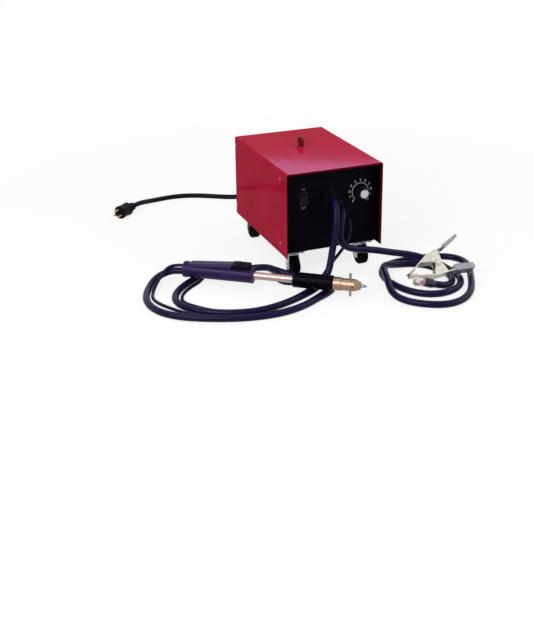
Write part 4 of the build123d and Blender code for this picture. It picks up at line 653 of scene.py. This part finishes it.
plug = {
    "back": (-0.348, 0.461, 0.0192), "heading": 219.6,
    "neck": 0.022, "neckRadius": 0.011, "neckEnd": 0.015, "ribs": 5, "ribDepth": 0.0011, "ribCurve": 0.6,
    "body": 0.04, "bodyRadius": 0.019, "round": 0.003, "waist": 0.0012,
    "pinCircle": 0.0095, "pinRadius": 0.0024, "pinLength": 0.019, "pinSunk": 0.001,
    "pinAngles": (90, 210, 330),
}


def makePlug():
    # Lathed about the cord: a neck whose radius grows along it and dips between its ribs, then a round body
    # with a slight waist.
    turn = math.radians(plug["heading"])
    heading = np.array((math.cos(turn), math.sin(turn), 0))
    back = np.array(plug["back"])
    s = np.linspace(0, 1, 80)
    neck = plug["neckRadius"] + (plug["neckEnd"] - plug["neckRadius"]) * s
    neck -= plug["ribDepth"] * (0.5 - 0.5 * np.cos(2 * math.pi * plug["ribs"] * s)) ** plug["ribCurve"]
    profile = list(zip(s * plug["neck"], neck))
    quarter = np.linspace(0, math.pi / 2, 9)
    near = plug["neck"]
    far = plug["neck"] + plug["body"]
    flat = plug["bodyRadius"] - plug["round"]
    profile += list(zip(near + plug["round"] * (1 - np.cos(quarter)), flat + plug["round"] * np.sin(quarter)))
    waist = np.linspace(near + plug["round"], far - plug["round"], 30)[1:-1]
    dip = plug["waist"] * np.sin(math.pi * (waist - near) / plug["body"]) ** 2
    profile += list(zip(waist, plug["bodyRadius"] - dip))
    profile += list(zip(far - plug["round"] * (1 - np.sin(quarter)), flat + plug["round"] * np.cos(quarter)))
    body = closeMesh(skinMesh("plugBody", revolveRings(profile, back, heading)), smoothDegrees=40)
    bodyPiece = addPiece("plugBody", body, "leadRubber", "machine")
    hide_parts("power_plug")

    side, up = np.array((-heading[1], heading[0], 0)), np.array((0, 0, 1))
    end, radius = plug["pinLength"], plug["pinRadius"]
    pinProfile = [(-plug["pinSunk"], radius), (end - radius, radius)]
    pinProfile += [(end - radius * (1 - math.sin(q)), radius * math.cos(q)) for q in quarter[1:-1]]
    pins = []
    for degrees in plug["pinAngles"]:
        a = math.radians(degrees)
        foot = back + heading * far + plug["pinCircle"] * (math.cos(a) * side + math.sin(a) * up)
        pins.append(skinMesh("pin", revolveRings(pinProfile, foot, heading, around=24)))
    pinMesh = closeMesh(joinMeshes("plugPins", pins), smoothDegrees=40)
    return bodyPiece, addPiece("plugPins", pinMesh, "brassPins", "machine")


def makePowerCord():
    route = powerCord["lead"] + coilRoute(powerCord) + powerCord["tail"]
    piece = makeCord("powerCord", powerCord, route, "leadRubber", "cord_black",
                     "power_cord", "power_cord_coil", "power_cord_tail")
    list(makePlug())


lugSleeve = {
    "start": (0.14852, -0.36334, 0.02955), "along": (0.91626, -0.3011, -0.26422), "length": 0.028,
    "wide": 0.0112, "narrow": 0.0093, "rim": 0.0005, "stepFrom": 0.0185, "stepTo": 0.0235,
}


def makeLugSleeve():
    # Lathed about the lug's barrel: one radius on the barrel, an S-shaped step down to the cable and rounded
    # rims.
    s = np.linspace(0, lugSleeve["length"], 57)
    step = np.clip((s - lugSleeve["stepFrom"]) / (lugSleeve["stepTo"] - lugSleeve["stepFrom"]), 0, 1)
    r = lugSleeve["wide"] - (lugSleeve["wide"] - lugSleeve["narrow"]) * step ** 2 * (3 - 2 * step)
    rim = np.clip(np.minimum(s, lugSleeve["length"] - s) / lugSleeve["rim"], 0, 1)
    r -= lugSleeve["rim"] * (1 - np.sqrt(1 - (1 - rim) ** 2))
    rings = revolveRings(list(zip(s, r)), lugSleeve["start"], lugSleeve["along"])
    mesh = closeMesh(skinMesh("lugSleeve", rings), smoothDegrees=40)
    addPiece("lugSleeve", mesh, "shrinkSleeve", "machine")


makeWeldCables()
makePowerCord()
makeLugSleeve()
print("cables and power cord")


# Clamp spring


def makeClampSpring():
    # The solid's own shape as a separate piece with outward faces and smooth shading; the solid itself is
    # hidden.
    node = nodes["clamp_spring"]
    mesh = node.data.copy()
    mesh.transform(node.matrix_world)
    piece = bpy.data.objects.new("clampSpring", closeMesh(mesh, smoothDegrees=40))
    scene.collection.objects.link(piece)
    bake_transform(piece)
    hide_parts("clamp_spring")


makeClampSpring()
print("clamp spring")


# Front panel print and knob face

switchPrint = {
    "words": [("ON", -0.07, 0.2225, 0.0065), ("OFF", -0.07, 0.1755, 0.0075)],  # text, x, z and size
    "depth": 0.00012,
}
dialPrint = {
    "ring": (0.0211, 0.0219), "arcSteps": 112, "depth": 0.00012,
    "sweep": 140,  # degrees each way from the top, as the knob turns
    "longTick": (0.0217, 0.0250), "shortTick": (0.0217, 0.0236), "tickWidth": 0.0007, "steps": 20,
    "numberRadius": 0.0298, "numberSize": 0.0088,
}
knobFace = {
    "radius": 0.0108, "thickness": 0.0012, "edge": 0.0005, "dome": 0.0006, "middle": 0.0002,
    "line": (0.004, 0.0102), "lineWidth": 0.0012, "lineRise": 0.0001,
}


def knobCentre():
    low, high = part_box("timer_knob")
    return (low.x + high.x) / 2, (low.z + high.z) / 2


def strokeMesh(centre, reach, width, angle, back, front):
    # A bar from one radius to another at angle a, clockwise from the top: x = r sin a + w cos a and
    # z = r cos a - w sin a, for w from one side of the bar to the other.
    r = np.array(reach)[:, None]
    w = np.array([-1, 1, 1, -1])[None, :] * width / 2
    x = centre[0] + r * math.sin(angle) + w * math.cos(angle)
    y = np.array([back, back, front, front])[None, :] + 0 * r
    z = centre[1] + r * math.cos(angle) - w * math.sin(angle)
    return skinMesh("stroke", np.stack([x, y, z], axis=-1))


def makeDialPrint(panelY):
    # Ring of the same angles: x = r sin a, z = r cos a, in a flat section. Ticks across it, numbers round it.
    centre = knobCentre()
    front = panelY - 2 * dialPrint["depth"]
    sweep = math.radians(dialPrint["sweep"])
    inner, outer = dialPrint["ring"]
    a = np.linspace(-sweep, sweep, dialPrint["arcSteps"] + 1)[:, None]
    r = np.array([inner, outer, outer, inner])[None, :]
    y = np.array([panelY, panelY, front, front])[None, :] + 0 * a
    rings = np.stack([centre[0] + r * np.sin(a), y, centre[1] + r * np.cos(a)], axis=-1)
    strokes = [skinMesh("ring", rings)]
    numbers = []
    for step, angle in enumerate(np.linspace(-sweep, sweep, dialPrint["steps"] + 1)):
        reach = dialPrint["shortTick" if step % 2 else "longTick"]
        strokes.append(strokeMesh(centre, reach, dialPrint["tickWidth"], angle, panelY, front))
        if step % 2 == 0:
            x = centre[0] + dialPrint["numberRadius"] * math.sin(angle)
            z = centre[1] + dialPrint["numberRadius"] * math.cos(angle)
            numbers.append((str(step // 2), x, z, dialPrint["numberSize"]))
    mesh = closeMesh(joinMeshes("dialScale", strokes), smoothDegrees=30)
    addPiece("dialScale", mesh, "whiteInk", "machine")
    printWords("dialNumbers", numbers, panelY, dialPrint["depth"], "whiteInk")


def makeKnobFace():
    # Lathed disc with a rounded rim and a slight dome, on the front of the knob.
    x, z = knobCentre()
    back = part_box("timer_knob")[0].y
    radius, thickness, edge, dome = (knobFace[key] for key in ("radius", "thickness", "edge", "dome"))
    q = np.linspace(0, math.pi / 2, 7)
    r = np.linspace(radius - edge, knobFace["middle"], 12)[1:]
    profile = [(0.0, radius)]
    profile += list(zip(thickness - edge * (1 - np.sin(q)), radius - edge * (1 - np.cos(q))))
    profile += list(zip(thickness + dome * (1 - (r / radius) ** 2), r))
    disc = skinMesh("knobFace", revolveRings(profile, (x, back, z), (0, -1, 0)))
    addPiece("knobFace", closeMesh(disc, smoothDegrees=35), "satinAluminium", "knob")
    front = back - thickness - dome - knobFace["lineRise"]
    line = strokeMesh((x, z), knobFace["line"], knobFace["lineWidth"], 0, back, front)
    addPiece("knobLine", closeMesh(line, smoothDegrees=30), "blackAbs", "knob")


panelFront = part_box("front_panel")[0].y
printWords("switchWords", switchPrint["words"], panelFront, switchPrint["depth"], "greyInk")
makeDialPrint(panelFront)
makeKnobFace()
print("panel print and knob face")
